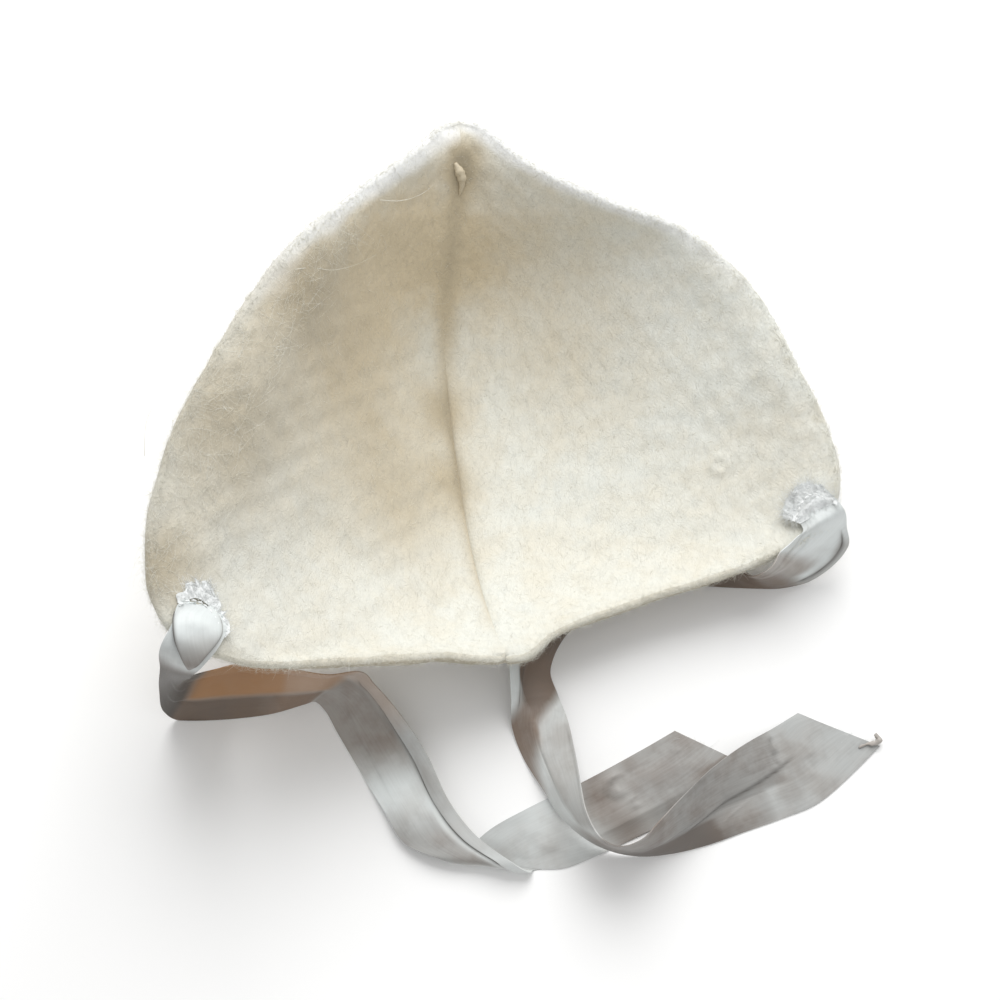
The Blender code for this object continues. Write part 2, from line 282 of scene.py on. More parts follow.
RIGHT_TIE = table(RibbonRow, (
    ("stitched_end", (89.1, -12.3, 24.5), (100.0, -6.5, 29.9), -0.3),
    ("patch", (92.4, -16.2, 25.4), (103.5, -10.3, 29.5), -0.6),
    ("over_corner", (94.5, -20.6, 25.6), (106.6, -14.8, 29.8), -0.6),
    ("bulge_high", (92.4, -22.6, 25.2), (109.6, -17.0, 20.0), 0.0),
    ("bulge", (90.0, -24.8, 24.6), (111.8, -19.5, 8.5), 0.0),
    ("bulge_low", (87.0, -27.2, 23.8), (108.1, -24.0, 4.0), 0.5),
    ("tuck_start", (84.4, -31.2, 22.6), (100.2, -28.6, 1.0), 1.0),
    ("tuck", (78.6, -32.6, 17.5), (90.3, -31.0, 0.6), 0.5),
    ("under_start", (69.0, -17.0, 6.5), (77.9, -31.0, 0.6), 0.0),
    ("under_middle", (53.5, -10.5, 3.4), (61.6, -30.5, 0.6), 0.0),
    ("under_end", (33.5, -14.0, 1.4), (44.5, -33.0, 0.6), 0.0),
    ("nape_under", (16.5, -25.5, 0.9), (31.0, -39.0, 0.6), 0.0),
    ("nape_turn", (6.0, -40.0, 3.0), (20.5, -48.0, 0.6), 1.0),
    ("nape_out", (3.0, -57.5, 11.5), (16.0, -58.5, 0.6), 2.5),
    ("drop_high", (3.4, -69.5, 8.5), (18.2, -66.5, 1.5), 2.5),
    ("drop", (3.7, -76.5, 2.2), (20.9, -76.0, 7.0), -1.5),
    ("drop_middle", (6.9, -85.6, 0.7), (22.8, -87.6, 12.5), -1.5),
    ("drop_low", (12.9, -96.3, 2.6), (24.2, -98.6, 18.5), -1.0),
    ("cross", (18.8, -105.5, 3.3), (26.0, -107.4, 22.5), 0.0),
    ("bend_start", (26.4, -111.8, 2.7), (29.4, -114.1, 24.2), 0.0),
    ("bend", (34.2, -115.0, 1.4), (33.7, -116.9, 25.0), 0.0),
    ("bend_end", (42.4, -116.2, 0.6), (40.4, -115.6, 24.4), 0.0),
    ("rise_low", (51.5, -115.6, 0.6), (46.3, -109.8, 22.0), 0.5),
    ("rise", (62.2, -113.2, 0.6), (54.0, -101.8, 18.0), 1.5),
    ("rise_middle", (73.3, -109.6, 0.6), (63.9, -92.1, 12.5), 2.5),
    ("rise_high", (87.1, -104.8, 0.6), (75.4, -83.4, 6.0), 1.5),
    ("tail", (98.4, -100.0, 0.6), (85.8, -77.2, 2.0), 0.5),
    ("free_end", (118.3, -82.9, 0.6), (93.6, -72.4, 0.6), 0.0),
))
# Soft areas of yellowing and painted shade on the felt. Most rows paint shade and its warm tint in the hollows, the
# crown and the steep left panel, where they face away from the lamp; left_edge, left_top_edge and left_corner paint a
# shadow along the left rim and its lower corner.
TONES = table(ToneRow, (
    ("pocket", (-12.0, 96.0, 54.0), 7.0, 0.8, 1.0),
    ("crown", (-12.0, 76.0, 28.0), 20.0, 0.5, 0.1),
    ("crown_left", (-33.0, 68.0, 48.0), 28.0, 0.95, 0.0),
    ("crown_right", (16.0, 74.0, 34.0), 26.0, 0.3, 0.0),
    ("ridge", (18.0, 46.0, 12.0), 22.0, 0.18, 0.06),
    ("cheek_left", (-47.0, 28.0, 42.0), 32.0, 0.7, 0.52),
    ("cheek_low", (-30.0, -6.0, 20.0), 24.0, 0.5, 0.45),
    ("neck_left", (-54.0, -52.0, 44.0), 26.0, 0.0, 0.08),
    ("seam_side", (-20.0, 30.0, 6.0), 10.0, 0.6, 0.5),
    ("seam_low", (-17.0, 4.0, 5.0), 9.0, 0.4, 0.35),
    ("left_edge", (-78.0, -8.0, 80.0), 28.0, 0.25, 0.75),
    ("left_top_edge", (-60.0, 40.0, 76.0), 20.0, 0.35, 0.85),
    ("left_corner", (-94.5, -53.0, 81.0), 13.0, 0.7, 0.85),
))
LEFT_PLEATS = table(PleatRow, (
    ("loop_wave", 6.0, 0.3, 10.4, 0.38, -0.4, 0.0),
    ("loop_low", 7.2, 0.14, 9.0, 0.2, -0.25, 0.2),
    ("bend_line", 5.2, 0.2, 7.0, 0.42, 0.5, 0.6),
    ("bend_second", 4.6, 0.35, 6.4, 0.62, 0.4, 0.5),
    ("fall_line", 11.2, 0.72, 18.4, 0.78, 0.8, 1.0),
    ("fall_soft", 12.0, 0.3, 15.0, 0.2, 0.2, 0.12),
))
# Stretches of the left ribbon, mostly painted shade: warm shade inside the loop and the turn, shade at the bend and
# the fall, and a painted shadow beside the crossing right ribbon; with some greying and stains.
LEFT_STAINS = table(StainRow, (
    ("loop_tan", 6.4, 9.4, 0.36, 1.1, 0.96, 0.3),
    ("loop_tan_end", 8.3, 11.0, 0.36, 1.1, 0.8, 0.06),
    ("loop_low", 5.4, 9.0, -0.1, 0.38, 0.3, 1.0, 0.5),
    ("loop_low_end", 7.9, 10.8, -0.1, 0.38, 0.36, 0.9, 0.15),
    ("turn_right", 10.6, 13.2, 0.7, 1.1, 0.45, 0.2),
    ("bend", 3.6, 6.6, -0.1, 1.1, 0.14, 1.0, 1.0),
    ("hang", 2.2, 4.2, -0.1, 1.1, 0.0, 0.15),
    ("turn_face", 10.7, 13.9, -0.1, 0.72, 0.15, 0.64),
    ("fall_side", 13.0, 16.5, 0.76, 1.1, 0.05, 0.3),
    ("fall_low", 15.3, 17.7, -0.1, 0.66, 0.03, 0.66),
    ("bottom", 15.5, 18.5, -0.1, 1.1, 0.04, 0.12),
    ("rise", 18.5, 21.0, -0.1, 1.1, 0.0, 0.42),
    ("under_tie", 21.7, 22.6, -0.1, 1.1, 0.14, 0.88),
    ("end", 22.1, 24.6, -0.1, 1.1, 0.05, 0.66),
    ("end_side", 23.2, 24.8, 0.6, 1.1, 0.12, 0.85),
))
LEFT_WRINKLES = table(WrinkleRow, (
    ("crescent", 22.42, 0.27, 3.4, -0.7),
    ("crescent_low", 22.5, 0.58, 1.7, -0.4),
    ("end_dent", 23.6, 0.2, 1.6, -0.2),
    ("middle_dent", 20.6, 0.5, 4.5, -0.12),
))
RIGHT_PLEATS = table(PleatRow, (
    ("corner_hem", 1.6, 0.1, 7.0, 0.14, 0.35, 0.22),
    ("corner_second", 2.6, 0.26, 6.4, 0.22, 0.25, 0.12),
    ("corner_strip", 3.0, 0.9, 6.6, 0.86, 0.5, 0.95),
    ("nape_pleat", 12.6, 0.42, 14.6, 0.12, -0.6, 0.85),
    ("nape_second", 12.6, 0.54, 14.2, 0.28, -0.4, 0.6),
    ("drop_line", 15.2, 0.4, 18.0, 0.42, 0.35, 0.3),
    ("raised_edge", 15.0, 0.94, 21.0, 0.93, 0.3, 0.2),
    ("bend_fold", 20.5, 0.22, 23.6, 0.5, 0.3, 0.35),
    ("tail_ridge", 22.4, 0.3, 26.2, 0.62, 0.55, 0.65),
    ("tail_second", 23.4, 0.12, 24.8, 0.4, -0.3, 0.3),
))
# Stretches of the right ribbon, mostly painted shade: under the felt's corner and neck, below the nape and along the
# tail; with some greying and stains.
RIGHT_STAINS = table(StainRow, (
    ("corner_low", 5.0, 8.0, -0.1, 0.7, 0.16, 0.5),
    ("corner_edge", 3.6, 7.0, 0.84, 1.1, 0.05, 0.5),
    ("under_felt", 6.2, 12.0, -0.1, 1.1, 0.24, 0.9, 0.3),
    ("nape_face", 11.0, 15.2, 0.34, 1.1, 0.2, 0.95, 0.0, 2.6),
    ("drop_left", 13.4, 15.6, -0.1, 0.5, 0.22, 0.9, 0.0, 2.6),
    ("drop_right", 14.6, 18.8, 0.42, 1.1, 0.02, 0.42),
    ("bend", 18.8, 22.4, -0.1, 1.1, 0.07, 0.85),
    ("tail_low", 21.6, 25.2, -0.1, 0.46, 0.03, 0.72),
    ("rise_edge", 19.4, 23.8, -0.1, 0.36, 0.07, 1.0, 0.3),
    ("tail_high", 21.6, 25.9, 0.36, 1.1, 0.03, 0.74),
    ("tail_end", 24.6, 28.0, -0.1, 1.1, 0.0, 0.56),
))
RIGHT_WRINKLES = table(WrinkleRow, (
    ("end_crumple", 25.7, 0.84, 2.4, 0.5),
    ("end_crumple_low", 25.6, 0.66, 1.8, -0.4),
    ("tail_dent", 26.3, 0.42, 1.4, -0.25),
    ("rise_dent", 24.2, 0.62, 4.0, -0.1),
))
FLAP = table(FlapRow, (
    ("top", (-84.9, -60.9, 76.8), (-78.0, -60.3, 71.6), 0.4),
    ("high", (-86.9, -63.3, 77.2), (-75.7, -63.5, 70.0), 1.3),
    ("middle", (-86.9, -67.5, 77.8), (-75.1, -66.9, 69.8), 1.7),
    ("low", (-86.4, -71.1, 76.8), (-76.3, -70.2, 70.4), 1.6),
    ("lower", (-85.6, -73.8, 74.6), (-78.6, -73.6, 70.8), 1.2),
    ("point", (-84.8, -75.9, 71.2), (-81.2, -76.2, 69.6), 0.6),
    ("tip", (-84.2, -76.9, 68.6), (-83.4, -77.0, 68.2), 0.1),
))
LEFT_RUFFLE = (
    (-85.9, -61.0, 76.0), (-84.6, -58.4, 75.3), (-82.4, -57.2, 73.6), (-80.0, -57.9, 71.4),
    (-78.2, -59.7, 69.6), (-76.9, -62.2, 68.4), (-75.6, -65.0, 67.6), (-75.2, -67.6, 67.6),
)
LEFT_RUFFLE_TOP = (
    (-84.6, -57.2, 75.0), (-83.4, -54.6, 73.9), (-81.0, -54.4, 71.6), (-79.0, -56.4, 69.7), (-77.6, -59.2, 68.5),
)
RIGHT_RUFFLE = (
    (89.9, -16.0, 24.2), (90.4, -12.6, 24.9), (92.6, -9.0, 26.3), (95.6, -6.9, 28.0), (98.8, -8.2, 29.0),
    (101.8, -11.6, 29.6), (103.2, -15.0, 29.6),
)
LEFT_STITCHES = (
    (-86.1, -61.8, 77.3), (-84.1, -60.2, 76.5), (-81.9, -59.7, 74.8), (-79.8, -60.5, 73.0), (-78.2, -62.1, 71.8),
    (-76.8, -64.2, 70.9), (-75.9, -66.5, 70.4),
)
RIGHT_STITCHES = (
    (92.2, -18.4, 26.0), (92.9, -15.2, 27.6), (94.6, -12.0, 28.9), (97.0, -10.2, 30.0), (99.8, -11.2, 30.8),
    (101.6, -13.6, 31.2),
)
NUB = ((-14.5, 93.9, 56.6), (-13.2, 92.4, 54.8), (-12.3, 90.3, 52.7), (-12.5, 88.7, 50.4), (-13.2, 87.3, 48.2))
NUB_RADII = (0.5, 1.5, 1.35, 0.8, 0.25)
STRAY_HAIRS = (
    ((-37.0, 72.0, 68.4), (-31.0, 75.4, 63.0), (-25.0, 81.6, 57.4), (-21.0, 87.6, 54.2)),
    ((-60.0, 40.8, 79.4), (-55.6, 44.6, 74.0), (-51.0, 46.8, 69.0), (-44.6, 55.0, 58.6), (-39.0, 62.0, 53.0)),
    ((-60.6, 44.6, 79.4), (-56.4, 50.8, 77.4), (-52.0, 60.0, 76.8)),
    ((-33.6, 84.0, 70.6), (-30.4, 80.6, 65.4), (-30.6, 76.6, 60.6)),
    ((-97.4, -21.0, 84.0), (-96.6, -12.0, 88.0), (-92.6, -4.6, 90.6)),
    ((-62.0, -66.0, 57.0), (-56.0, -64.0, 52.6), (-51.0, -66.6, 50.8)),
    ((70.0, 66.0, 50.0), (77.0, 60.4, 49.8), (84.4, 53.8, 47.8)),
)
DIMPLE = (71.0, 4.6, 19.4)
TIP = ((111.6, -83.4, 1.0), (114.2, -82.4, 1.1), (116.6, -82.2, 1.4), (118.0, -81.0, 1.8), (116.6, -79.6, 2.4))


def unit(vectors: np.ndarray) -> np.ndarray:
    """Scales the vectors along the last axis to length one."""
    lengths = np.linalg.norm(vectors, axis=-1, keepdims=True)
    return vectors / np.maximum(lengths, 1e-9)


def smooth(share: np.ndarray) -> np.ndarray:
    """Clips numbers to the range from 0 to 1 and eases them."""
    share = np.clip(share, 0.0, 1.0)
    return share * share * (3 - 2 * share)


def through(points: Sequence[Sequence[float]], steps: int) -> np.ndarray:
    """Runs a centripetal Catmull-Rom curve through points.

    Args:
        points: The points that the curve passes through.
        steps: How many samples each span gets.

    Returns:
        The samples, one row each, with the last point at the end.
    """
    points = np.asarray(points, float)
    padded = np.vstack((2 * points[0] - points[1], points, 2 * points[-1] - points[-2]))
    sampled = []
    for i in range(len(points) - 1):
        p0, p1, p2, p3 = padded[i : i + 4]
        t1 = max(np.linalg.norm(p1 - p0), 1e-6) ** 0.5
        t2 = t1 + max(np.linalg.norm(p2 - p1), 1e-6) ** 0.5
        t3 = t2 + max(np.linalg.norm(p3 - p2), 1e-6) ** 0.5
        for k in range(steps):
            t = t1 + (t2 - t1) * k / steps
            a1 = p0 + (p1 - p0) * t / t1
            a2 = p1 + (p2 - p1) * (t - t1) / (t2 - t1)
            a3 = p2 + (p3 - p2) * (t - t2) / (t3 - t2)
            b1 = a1 + (a2 - a1) * t / t2
            b2 = a2 + (a3 - a2) * (t - t1) / (t3 - t1)
            sampled.append(b1 + (b2 - b1) * (t - t1) / (t2 - t1))
    sampled.append(points[-1])
    return np.array(sampled)


def between(values: Sequence[float], steps: int) -> np.ndarray:
    """Spreads one number per table row over the sampled rows, straight between the rows of the table."""
    places = np.arange((len(values) - 1) * steps + 1) / steps
    return np.interp(places, np.arange(len(values)), values)


def grid_normals(grid: np.ndarray) -> np.ndarray:
    """Works out a normal for each point of a grid of rows, columns and coordinates."""
    return unit(np.cross(np.gradient(grid, axis=0), np.gradient(grid, axis=1)))


def lengths_along(grid: np.ndarray, axis: int) -> np.ndarray:
    """Measures how far each point of a grid lies along one of its directions.

    Args:
        grid: Points as rows, columns and coordinates.
        axis: 0 to measure along the rows' order, 1 along the columns' order.

    Returns:
        The running length of each point.
    """
    spans = np.linalg.norm(np.diff(grid, axis=axis), axis=2)
    start = np.zeros_like(np.take(spans, [0], axis=axis))
    return np.concatenate((start, np.cumsum(spans, axis=axis)), axis=axis)


def cloth_places(grid: np.ndarray) -> np.ndarray:
    """Gives each point's place on the cloth, across it and along it, in millimetres."""
    return np.stack((lengths_along(grid, 1), lengths_along(grid, 0)), axis=-1)


def both_edges(rows: Sequence[RibbonRow | FlapRow], steps: int) -> tuple[np.ndarray, np.ndarray]:
    """Runs curves through the first and the second edges of a table's rows."""
    return through([row.edge_1 for row in rows], steps), through([row.edge_2 for row in rows], steps)


def ruled(first: np.ndarray, last: np.ndarray, shares: np.ndarray) -> np.ndarray:
    """Lays straight lines from one curve to another and gives their points at the given shares."""
    return first[:, None] + (last - first)[:, None] * shares[..., None]


def around(first: np.ndarray, second: np.ndarray) -> np.ndarray:
    """Joins the values of a sheet's two faces into rings, along the first face and back along the second."""
    return np.concatenate((first, second[:, ::-1]), axis=1)


def plain_mesh(name: str, points: np.ndarray, faces: np.ndarray) -> bpy.types.Mesh:
    """Makes a smooth mesh.

    Args:
        name: The mesh's name.
        points: Its points, in layout millimetres.
        faces: Its faces as point numbers.

    Returns:
        The mesh, in metres in the part's frame.
    """
    mesh = bpy.data.meshes.new(name)
    mesh.from_pydata(((points - ORIGIN) * MM).tolist(), [], faces.tolist())
    mesh.shade_smooth()
    return mesh


@dataclass(frozen=True)
class Undulation:
    """A smooth random surface: a sum of waves in random directions."""

    seed: int
    shortest: float
    longest: float
    waves: int = 18

    def at(self, points: np.ndarray) -> np.ndarray:
        """Reads the surface.

        Args:
            points: Places in millimetres, coordinates along the last axis.

        Returns:
            Heights of about -1 to 1 at those places.
        """
        draw = np.random.default_rng(self.seed)
        total = np.zeros(points.shape[:-1])
        for _ in range(self.waves):
            heading = draw.normal(size=points.shape[-1])
            heading /= np.linalg.norm(heading)
            length = draw.uniform(self.shortest, self.longest)
            phase = draw.uniform(0, 2 * math.pi)
            total += np.sin(points @ heading * (2 * math.pi / length) + phase)
        return total * math.sqrt(2 / self.waves) * 0.6


@dataclass
class Skin:
    """A closed surface made of rings of points, with a place on the cloth for each point."""

    name: str
    rings: np.ndarray
    cloth: np.ndarray
    marks: dict[str, np.ndarray] = field(default_factory=dict)

    def mesh(self) -> bpy.types.Mesh:
        """Joins the rings and closes both ends.

        Returns:
            A closed mesh in metres with the UV map "cloth" and one attribute for each mark.
        """
        rows, count = self.rings.shape[:2]
        index = np.arange(rows * count).reshape(rows, count)
        after = np.roll(index, -1, axis=1)
        quads = np.stack((index[:-1], index[1:], after[1:], after[:-1]), axis=-1).reshape(-1, 4)
        mesh = plain_mesh(self.name, self.rings.reshape(-1, 3), quads)
        corners = np.zeros(len(mesh.loops), dtype=np.int32)
        mesh.loops.foreach_get("vertex_index", corners)
        layer = mesh.uv_layers.new(name="cloth")
        layer.uv.foreach_set("vector", (self.cloth.reshape(-1, 2)[corners] * MM * UV_PER_METRE).ravel())
        for mark, values in self.marks.items():
            attribute = mesh.attributes.new(mark, "FLOAT", "POINT")
            attribute.data.foreach_set("value", values.ravel().astype(np.float32))
        self.close(mesh)
        return mesh

    @staticmethod
    def close(mesh: bpy.types.Mesh) -> None:
        """Closes both ends and keeps the shading sharp at the sheet's edges.

        Args:
            mesh: The mesh, open at its first and last ring.
        """
        build = bmesh.new()
        build.from_mesh(mesh)
        bmesh.ops.remove_doubles(build, verts=build.verts, dist=MERGE_DISTANCE)
        loose = [edge for edge in build.edges if edge.is_boundary]
        bmesh.ops.holes_fill(build, edges=loose, sides=0)
        bmesh.ops.triangulate(build, faces=[face for face in build.faces if len(face.verts) > 4])
        bmesh.ops.recalc_face_normals(build, faces=build.faces)
        for edge in build.edges:
            edge.smooth = edge.calc_face_angle(0.0) < SHARP_ANGLE
        build.to_mesh(mesh)
        build.free()
        mesh.shade_smooth()


def placed(name: str, data: bpy.types.ID) -> bpy.types.Object:
    """Adds an object with the given data to the scene."""
    made = bpy.data.objects.new(name, data)
    bpy.context.scene.collection.objects.link(made)
    return made


def piece(name: str, mesh: bpy.types.Mesh, material: bpy.types.Material) -> bpy.types.Object:
    """Places a finished mesh in the scene as a piece that rides on the part.

    Args:
        name: The piece's name.
        mesh: Its mesh, in metres in the part's frame.
        material: Its material.

    Returns:
        The new object.
    """
    mesh.materials.clear()
    mesh.materials.append(material)
    made = placed(name, mesh)
    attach(made, BODY)
    log.info("%s: %d faces", name, len(mesh.polygons))
    return made


@dataclass(frozen=True)
class HairKind:
    """The size and lie of one kind of hair or raw thread, in millimetres."""

    shortest: float
    longest: float
    lift: float
    bend: float
    radius: float
    knots: int = 4
    droop: float = 0.5


def scatter(grid: np.ndarray, normals: np.ndarray, count: int, draw: np.random.Generator,
            weight: np.ndarray | None = None) -> tuple[np.ndarray, np.ndarray]:
    """Scatters roots evenly over a grid of points.

    Args:
        grid: The surface, as rows, columns and coordinates.
        normals: Its outward normals.
        count: How many roots.
        draw: The random source.
        weight: How thickly the hairs stand, one number for each point of the grid.

    Returns:
        The roots and their normals.
    """
    area = np.linalg.norm(np.cross(grid[1:, :-1] - grid[:-1, :-1], grid[:-1, 1:] - grid[:-1, :-1]), axis=2)
    if weight is not None:
        area = area * weight[:-1, :-1]
    pick = draw.choice(area.size, count, p=area.ravel() / area.sum())
    row, column = np.divmod(pick, area.shape[1])
    down, side = draw.random((2, count, 1))
    found = []
    for values in (grid, normals):
        high = values[row, column] * (1 - side) + values[row, column + 1] * side
        low = values[row + 1, column] * (1 - side) + values[row + 1, column + 1] * side
        found.append(high * (1 - down) + low * down)
    return found[0], unit(found[1])


def tubes(lines: np.ndarray, radii: np.ndarray, sides: int = 3) -> tuple[np.ndarray, np.ndarray]:
    """Wraps thin tubes round many lines.

    Args:
        lines: Lines, knots and coordinates.
        radii: One radius for each knot of each line.
        sides: How many sides a tube has.

    Returns:
        The points, and the triangles as point numbers.
    """
    count, knots = lines.shape[:2]
    along = unit(np.gradient(lines, axis=1))
    chord = unit(lines[:, -1] - lines[:, 0])
    other = np.where(np.abs(chord[:, 2:]) > 0.8, np.array((1.0, 0.0, 0.0)), np.array((0.0, 0.0, 1.0)))
    flank = unit(np.cross(along, other[:, None]))
    crest = np.cross(along, flank)
    angle = np.arange(sides) * 2 * math.pi / sides
    ring = flank[:, :, None] * np.cos(angle)[:, None] + crest[:, :, None] * np.sin(angle)[:, None]
    points = (lines[:, :, None] + ring * radii[..., None, None]).reshape(-1, 3)
    index = np.arange(count * knots * sides).reshape(count, knots, sides)
    after = np.roll(index, -1, axis=2)
    corners = ((index[:, :-1], index[:, 1:], after[:, 1:]), (index[:, :-1], after[:, 1:], after[:, :-1]))
    faces = [np.stack(three, axis=-1).reshape(-1, 3) for three in corners]
    for k in range(1, sides - 1):
        faces.append(np.stack((index[:, 0, 0], index[:, 0, k], index[:, 0, k + 1]), axis=-1))
        faces.append(np.stack((index[:, -1, 0], index[:, -1, k + 1], index[:, -1, k]), axis=-1))
    return points, np.concatenate(faces)


def grow(roots: np.ndarray, normals: np.ndarray, kind: HairKind, draw: np.random.Generator) -> np.ndarray:
    """Grows one curved hair from each root.

    Args:
        roots: Where the hairs stand.
        normals: The directions away from the surface there.
        kind: The hairs' size and lie.
        draw: The random source.

    Returns:
        The hairs as lines, knots and coordinates.
    """
    headings = []
    for _ in range(2):
        random = draw.normal(size=roots.shape)
        headings.append(unit(random - normals * np.sum(random * normals, axis=1, keepdims=True)))
    head = unit(headings[0] + normals * kind.lift * draw.uniform(0.4, 1.3, (len(roots), 1)))
    bend = headings[1] * kind.bend - normals * kind.lift * kind.droop
    length = draw.uniform(kind.shortest, kind.longest, (len(roots), 1, 1))
    share = np.linspace(0, 1, kind.knots)[None, :, None]
    lines = (roots - normals * 0.12)[:, None] + length * (head[:, None] * share + bend[:, None] * share**2)
    lines[..., 2] = np.maximum(lines[..., 2], 3 * kind.radius)
    return lines


def hair_piece(name: str, lines: np.ndarray, radius: float, material: bpy.types.Material) -> bpy.types.Object:
    """Makes one piece of many hairs.

    Args:
        name: The piece's name.
        lines: The hairs as lines, knots and coordinates, in layout millimetres.
        radius: A hair's radius at its root.
        material: Its material.

    Returns:
        The piece.
    """
    taper = np.linspace(1.0, 0.35, lines.shape[1])
    points, faces = tubes(lines, np.broadcast_to(radius * taper, lines.shape[:2]))
    return piece(name, plain_mesh(name, points, faces), material)


def fur(name: str, grid: np.ndarray, normals: np.ndarray, count: int, kind: HairKind, draw: np.random.Generator,
        material: bpy.types.Material, weight: np.ndarray | None = None) -> bpy.types.Object:
    """Scatters hairs over a grid and makes one piece of them.

    Args:
        name: The piece's name.
        grid: The surface that they stand on.
        normals: Its outward normals.
        count: How many hairs.
        kind: Their size and lie.
        draw: The random source.
        material: Their material.
        weight: How thickly they stand, one number for each point of the grid.

    Returns:
        The piece.
    """
    lines = grow(*scatter(grid, normals, count, draw, weight), kind, draw)
    return hair_piece(name, lines, kind.radius, material)


@dataclass
class Bench:
    """Places shader nodes in one tree and joins them."""

    tree: bpy.types.NodeTree

    def node(self, kind: str, inputs: dict[str | int, Input] | None = None, **settings) -> bpy.types.Node:
        """Adds a node.

        Args:
            kind: The node's type name without its ShaderNode prefix.
            inputs: Values or sockets for its inputs, by name or number.
            **settings: The node's own properties.

        Returns:
            The new node.
        """
        made = self.tree.nodes.new("ShaderNode" + kind)
        for name, value in settings.items():
            setattr(made, name, value)
        self.fill(made, inputs or {})
        return made

    def fill(self, made: bpy.types.Node, inputs: dict[str | int, Input]) -> None:
        """Joins sockets to a node's inputs, and writes plain values on the node's own sockets.

        Args:
            made: The node.
            inputs: Values or sockets for its inputs, by name or number.
        """
        for name, value in inputs.items():
            if isinstance(value, bpy.types.NodeSocket):
                self.tree.links.new(value, made.inputs[name])
            else:
                made.inputs[name].default_value = value

    def maths(self, operation: str, first: Input, second: Input = 0.0) -> bpy.types.NodeSocket:
        """Adds a Math node and gives its output."""
        return self.node("Math", {0: first, 1: second}, operation=operation).outputs[0]

    def plus(self, first: Input, second: Input) -> bpy.types.NodeSocket:
        """Adds two values and gives the sum."""
        return self.maths("ADD", first, second)

    def times(self, first: Input, second: Input) -> bpy.types.NodeSocket:
        """Multiplies two values and gives the product."""
        return self.maths("MULTIPLY", first, second)

    def moved(self, place: Input, shift: Input) -> bpy.types.NodeSocket:
        """Adds two vectors and gives the output."""
        return self.node("VectorMath", {0: place, 1: shift}, operation="ADD").outputs[0]

    def wander(self, place: Input, scale: float) -> bpy.types.NodeSocket:
        """Adds a Noise texture and gives its colour, to bend a place with."""
        return self.node("TexNoise", {"Vector": place, "Scale": scale, "Detail": 1.0}).outputs["Color"]

    def group(self, tree: bpy.types.NodeTree, **inputs: Input) -> bpy.types.bpy_prop_collection:
        """Places a shader group and gives its outputs."""
        return self.node("Group", inputs, node_tree=tree).outputs

    def scaled(self, place: Input, factor: Input) -> bpy.types.NodeSocket:
        """Scales a vector and gives the output."""
        return self.node("VectorMath", {0: place, "Scale": factor}, operation="SCALE").outputs[0]

    def stretched(self, place: Input, scale: Place, turn: Place = (0.0, 0.0, 0.0)) -> bpy.types.NodeSocket:
        """Turns and stretches a vector and gives the output."""
        return self.node("Mapping", {"Vector": place, "Rotation": turn, "Scale": scale}).outputs[0]

    def spread(self, value: Input, low: float, high: float) -> bpy.types.NodeSocket:
        """Maps a range onto 0 to 1, clipped and eased, and gives the output."""
        inputs = {"Value": value, "From Min": low, "From Max": high}
        return self.node("MapRange", inputs, interpolation_type="SMOOTHSTEP").outputs["Result"]

    def noise(self, place: Input, scale: Input, detail: float = 2.0,
              roughness: float = 0.5) -> bpy.types.NodeSocket:
        """Adds a Noise texture and gives its factor."""
        inputs = {"Vector": place, "Scale": scale, "Detail": detail, "Roughness": roughness}
        return self.node("TexNoise", inputs).outputs["Fac"]

    def mark(self, name: str) -> bpy.types.NodeSocket:
        """Reads one of the mesh's marks."""
        return self.node("Attribute", attribute_name=name).outputs["Fac"]

    def mix(self, share: Input, first: Input, second: Input) -> bpy.types.NodeSocket:
        """Mixes two colours and gives the result."""
        return self.node("Mix", {0: share, 6: first, 7: second}, data_type="RGBA").outputs[2]

    def surface(self, inputs: dict[str, Input]) -> None:
        """Fills the inputs of the material's Principled BSDF."""
        self.fill(self.tree.nodes["Principled BSDF"], inputs)

    def relief(self, height: bpy.types.NodeSocket, depth: float, strength: float) -> bpy.types.NodeSocket:
        """Adds a Bump node, with its depth in metres, and gives the normal."""
        return self.node("Bump", {"Height": height, "Distance": depth, "Strength": strength}).outputs[0]

    def give(self, values: dict[str, bpy.types.NodeSocket]) -> bpy.types.NodeTree:
        """Joins values to the outputs of this group and gives its tree."""
        result = self.tree.nodes["Group Output"].inputs
        for label, value in values.items():
            self.tree.links.new(value, result[label])
        return self.tree


def shader_group(name: str, inputs: dict[str, float | None], outputs: Sequence[str]) -> tuple[Bench, dict]:
    """Starts a shader node group with named inputs and outputs.

    Args:
        name: The group's name.
        inputs: The default value of each input, or None for a vector.
        outputs: Names of the outputs, all plain numbers.

    Returns:
        A bench on the group's tree, and the sockets of its inputs.
    """
    tree = bpy.data.node_groups.new(name, "ShaderNodeTree")
    for label, value in inputs.items():
        kind = "NodeSocketVector" if value is None else "NodeSocketFloat"
        socket = tree.interface.new_socket(label, in_out="INPUT", socket_type=kind)
        if value is not None:
            socket.default_value = value
    for label in outputs:
        tree.interface.new_socket(label, in_out="OUTPUT", socket_type="NodeSocketFloat")
    given = tree.nodes.new("NodeGroupInput").outputs
    tree.nodes.new("NodeGroupOutput")
    return Bench(tree), given


